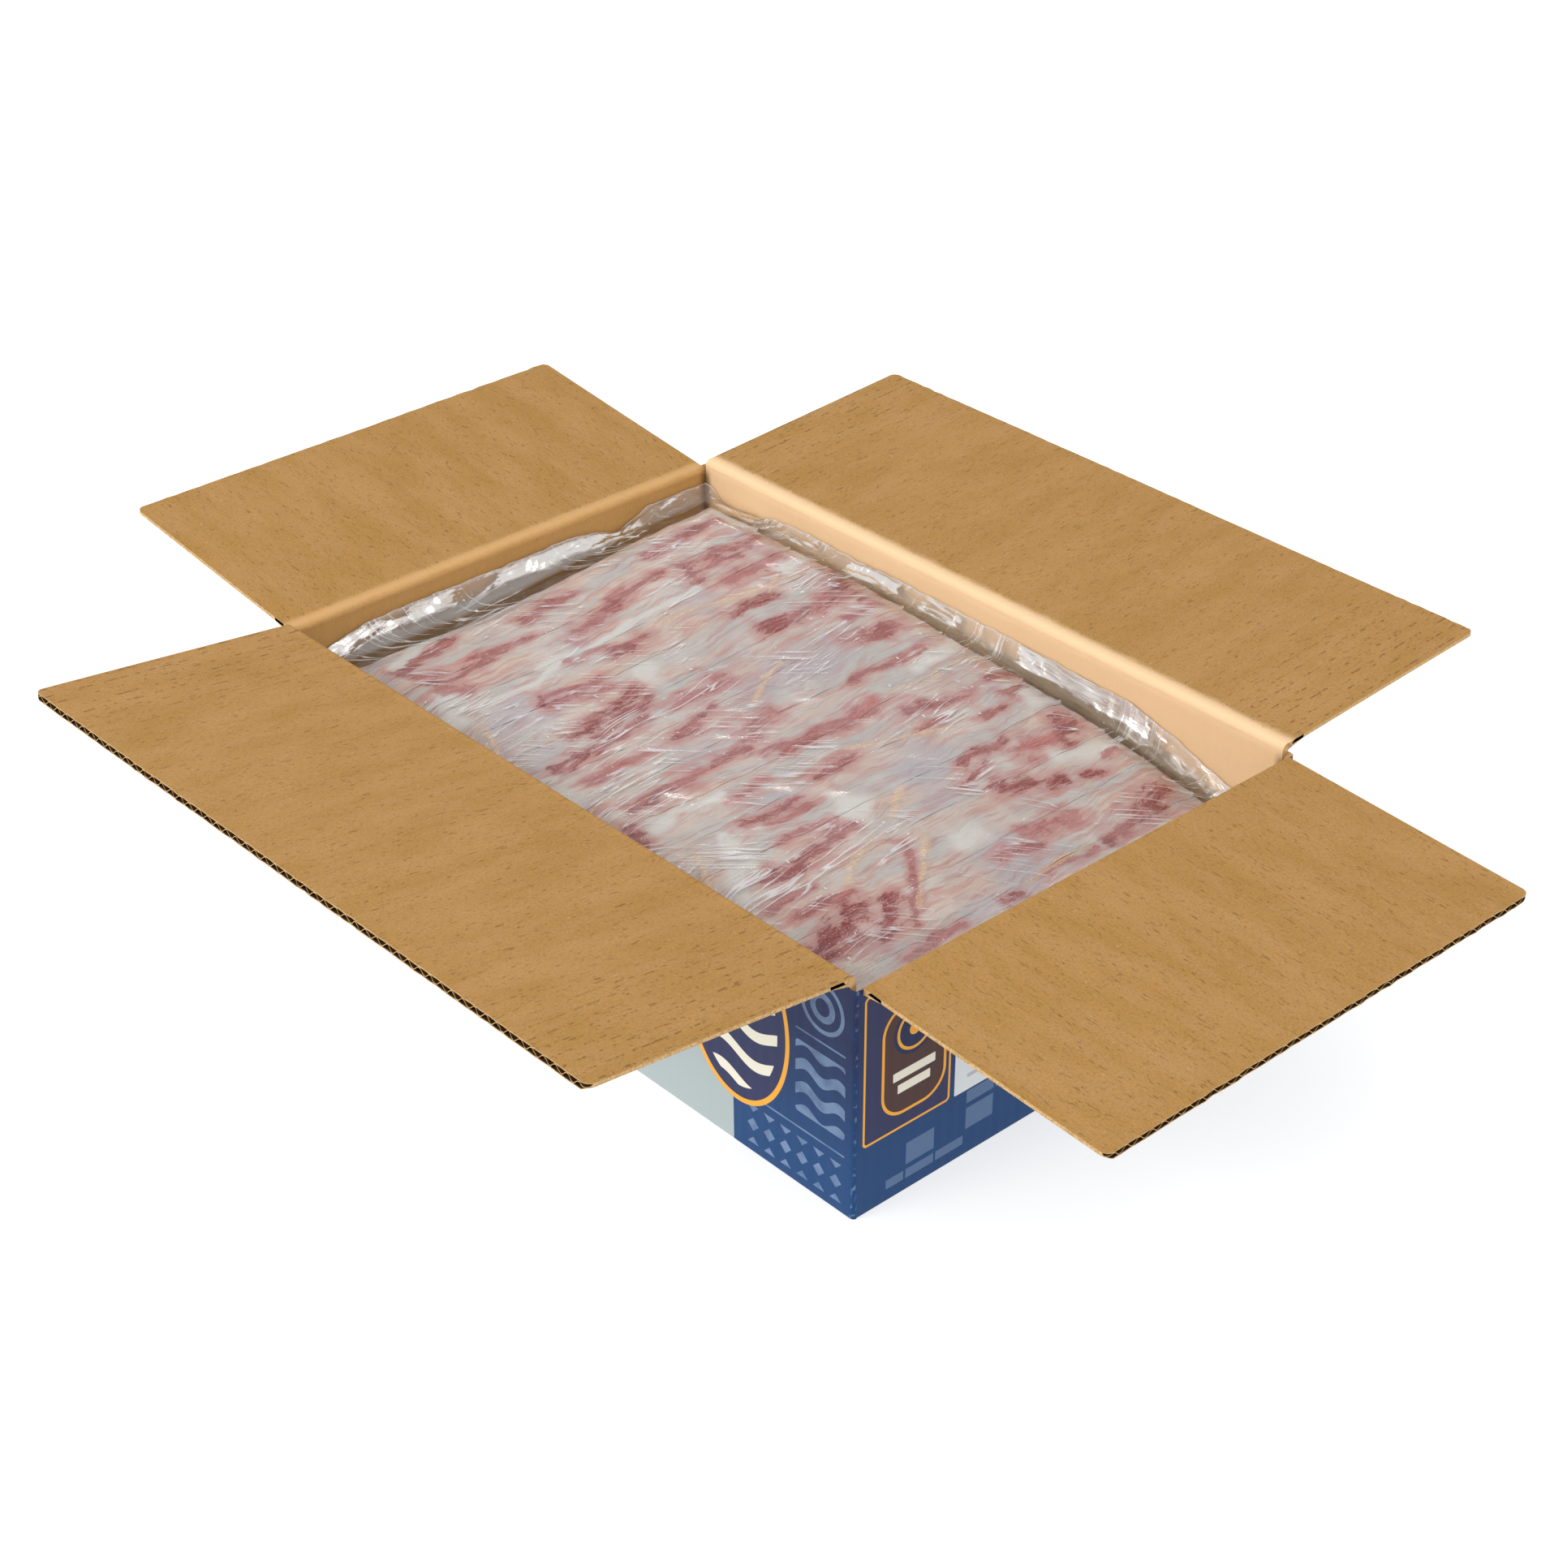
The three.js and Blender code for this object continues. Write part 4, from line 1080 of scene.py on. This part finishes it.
def film_finish():
    """Clear plastic film: it lets the bacon through, mirrors by the fifth power of how far it turns
    away, and is faintly milky, more so where it is creased and at the right end. The creases are thin
    ridges of stretched noise, most of them along the slices and some slanting across; they are milky
    and also painted bright as highlights. Small bright dots are painted glints, and a painted
    highlight runs along the film's edge at the wall. Where the film hangs loose beside the bacon it
    mirrors more, in patches that run along the wall, and a dull dark sheet is mixed in there as
    painted shade of the gap below."""
    finish = Finish("clear_film")
    place = finish.node("ShaderNodeTexCoord", output="Object")
    x, y, _ = finish.axes(place)
    loose, hem, across = finish.axes(finish.attribute("cling"))
    gleaming, on_left, _ = finish.axes(finish.attribute("gleam"))
    cloud = finish.noise(place, 17.0, 4.0, 0.6)

    def ridge(across, along, narrow, seed):
        """1 on thin lines where stretched noise passes its middle value."""
        field = finish.noise(finish.vector(across * narrow, along * 10, seed), 1.0, 2.0, 0.5, 0.15)
        return 1 - abs(field - 0.5).above(0.0, 0.02)

    along_slices = ridge(x + y * 0.12, y, 130, 1.0)
    slanting = ridge(x * 0.74 - y * 0.67, x * 0.67 + y * 0.74, 150, 4.0)
    patchy = cloud.above(0.48, 0.62)
    crossing = finish.noise(place, 21.0, 3.0, 0.6).above(0.5, 0.64)
    lines = (along_slices * patchy + slanting * crossing).math("MINIMUM", 1.0)
    dots = finish.noise(place, 290.0, 2.0, 0.5).above(0.7, 0.74) * cloud.above(0.44, 0.56)
    along = x + y
    streaks = finish.noise(finish.vector(across * 4, along * 42), 1.0, 3.0, 0.6, 0.4)
    ragged = finish.noise(finish.vector(across * 12, along * 130, 3.0), 1.0, 3.0, 0.6)
    crumple = finish.noise(place, 75.0, 4.0, 0.6, 0.8)
    pleats = finish.noise(finish.vector(across * 8, along * 40, 8.0), 1.0, 3.0, 0.6, 0.4)
    relief = crumple * (0.3 * MM) + lines * (0.12 * MM) + pleats * loose * (1.0 * MM)
    normal = finish.bump(relief, 0.6)
    band = across + (streaks - 0.5) * 0.45
    window = band.above(0.02, 0.12) * (1 - band.above(0.42, 0.54))
    silver = loose * window * (gleaming + (streaks - 0.5) * 1.5 + (ragged - 0.5) * 0.9).above(0.38, 0.6)
    shade = loose * band.above(0.4, 0.6)
    clear = finish.node("ShaderNodeBsdfTransparent", None, [(0.985, 0.985, 0.985, 1.0)])
    milk = finish.surface(srgb("#e4e0e0"), 0.45)
    # Painted shade: a dull dark sheet stands for the shaded gap seen through the loose film, brown by the
    # back wall and grey by the left wall.
    gap_shade = finish.surface(finish.mix(on_left, "#7b6546", "#938f8b"), 0.4)
    gleam = finish.surface((0.95, 0.93, 0.91, 1.0), 0.14, normal, Metallic=1.0)
    far_end = x.above(0.172, 0.2)
    # Milk, and painted light: the crease lines are milky and also painted highlights, the dots are painted
    # glints, and the edge at the wall gets a painted highlight.
    haze = cloud.above(0.45, 0.8) * 0.06 + lines * 0.55 + dots * 0.7
    haze = haze + loose * 0.05 + hem * 0.3 + far_end * 0.45
    facing = finish.node("ShaderNodeLayerWeight", None, {"Blend": 0.5, "Normal": normal}, output="Facing")
    fresnel = facing ** 5 * 0.97 + 0.03
    body = finish.node("ShaderNodeMixShader", None, [haze.math("MINIMUM", 0.85), clear, milk])
    body = finish.node("ShaderNodeMixShader", None, [shade * 0.45, body, gap_shade])
    mirror = fresnel * (0.5 + loose * 0.5) + silver * 0.55
    return finish.done(finish.node("ShaderNodeMixShader", None, [mirror, body, gleam]))


film_x = film_steps(LENGTH / 2 - BOARD - WALL_GAP, 1.8)
film_y = film_steps(WIDTH / 2 - BOARD - WALL_GAP, 1.8)
grid_x, grid_y = np.meshgrid(film_x, film_y)
film_top = film_height(grid_x, grid_y)
rise_y, rise_x = np.gradient(film_top, film_y, film_x)
lean_over = np.sqrt(1 + rise_x ** 2 + rise_y ** 2)
film_normal = np.stack([-rise_x, -rise_y, np.ones_like(film_top)], axis=2) / lean_over[..., None]
film_upper = np.stack([grid_x, grid_y, film_top], axis=2)
film_lower = film_upper - FILM_THICKNESS * film_normal
film_quads, _ = slab_quads(*film_top.shape)
film_points = np.concatenate([film_upper.reshape(-1, 3), film_lower.reshape(-1, 3)])
film = make_piece("film_sheet", film_points, film_quads, [film_finish()], sharp=80.0)
to_wall = np.minimum(film_x.max() - np.abs(grid_x), film_y.max() - np.abs(grid_y))
fallen = np.clip((hem_height(grid_x, grid_y) - film_top) / 14.0, 0, 1)
loose = 1 - step(to_wall, 7, 12)
# Its second part marks the film's edge at the wall, where a painted highlight goes.
cling = np.stack([loose, 1 - step(to_wall, 0, 0.9), 0.5 * fallen + 0.5 * np.clip(to_wall / 12, 0, 1)], axis=2)
add_point_vectors(film, "cling", np.concatenate([cling.reshape(-1, 3)] * 2))
beside_left = step(-grid_x - LENGTH / 2 + BOARD + 16, -3, 3) * (grid_y < WIDTH / 2 + grid_x + LENGTH / 2)
gleaming = np.where(beside_left > 0.5, np.interp(grid_y, GLEAM_LEFT[:, 0], GLEAM_LEFT[:, 1]),
                    np.interp(grid_x, GLEAM_BACK[:, 0], GLEAM_BACK[:, 1]))
gleam = np.stack([gleaming, beside_left, 0 * gleaming], axis=2)
add_point_vectors(film, "gleam", np.concatenate([gleam.reshape(-1, 3)] * 2))
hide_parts("film")
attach(film, "filled_case")

# Table and light
# A plain pale table, under a large soft light from the front and a weaker one from the right, as in a
# studio. A small one at the back glints on the film, and the world lights the rest.
TABLE = "#b9b9b9"
TABLE_REACH = 15000.0
TABLE_GLOW = 0.68
WORLD_LIGHT = 0.95
CAMERA_PLACE = (0.98549, -0.89127, 0.89801)
CAMERA_AZIMUTH = 47.64
CAMERA_HEIGHT = 31.89
CAMERA_ROLL = -0.07
CAMERA_LENS = 70.93


def table_mesh():
    """A flat square, just below the case's underside."""
    x, y = np.meshgrid([-TABLE_REACH, TABLE_REACH], [-TABLE_REACH, TABLE_REACH])
    return np.stack([x.ravel(), y.ravel(), 0 * x.ravel() - 0.05], axis=1)


table_finish = Finish("table")
table_place = table_finish.node("ShaderNodeTexCoord", output="Object")
table_color = table_finish.mix(table_finish.noise(table_place, 3.0), TABLE, "#bdbdbc")
table_surface = table_finish.surface(
    table_color, 0.8, Emission_Color=(1, 1, 1, 1), Emission_Strength=TABLE_GLOW
)
table = make_piece("table", table_mesh(), np.array([[0, 1, 3, 2]]), [table_finish.done(table_surface)])


def add_light(name, azimuth, height, distance, size, power):
    """A square area light at a distance from the case, turned to face it."""
    data = bpy.data.lights.new(name, "AREA")
    data.shape = "SQUARE"
    data.size = size
    data.energy = power
    light = bpy.data.objects.new(name, data)
    turn, lift = math.radians(azimuth), math.radians(height)
    light.location = (distance * math.sin(turn) * math.cos(lift), -distance * math.cos(turn) * math.cos(lift),
                      distance * math.sin(lift) + 0.1)
    light.rotation_euler = (math.pi / 2 - lift, 0.0, turn)
    bpy.context.scene.collection.objects.link(light)


add_light("key_light", azimuth=-12, height=30, distance=2.4, size=0.9, power=24)
add_light("side_light", azimuth=100, height=30, distance=2.6, size=1.2, power=7)
add_light("sparkle_light", azimuth=228, height=19, distance=2.4, size=0.08, power=0.8)

world = bpy.data.worlds.new("studio")
world.use_nodes = True
world.node_tree.nodes["Background"].inputs["Color"].default_value = (1, 1, 1, 1)
world.node_tree.nodes["Background"].inputs["Strength"].default_value = WORLD_LIGHT
bpy.context.scene.world = world
bpy.context.scene.view_settings.view_transform = "Standard"
bpy.context.scene.cycles.transparent_max_bounces = 24

camera_data = bpy.data.cameras.new("camera")
camera_data.lens = CAMERA_LENS
camera_data.sensor_fit = "HORIZONTAL"
camera_data.sensor_width = 36.0
camera_data.clip_end = 20.0
camera = bpy.data.objects.new("camera", camera_data)
camera.rotation_mode = "XYZ"
camera.location = CAMERA_PLACE
camera.rotation_euler = [math.radians(turn) for turn in (90 - CAMERA_HEIGHT, CAMERA_ROLL, CAMERA_AZIMUTH)]
bpy.context.scene.collection.objects.link(camera)
bpy.context.scene.camera = camera
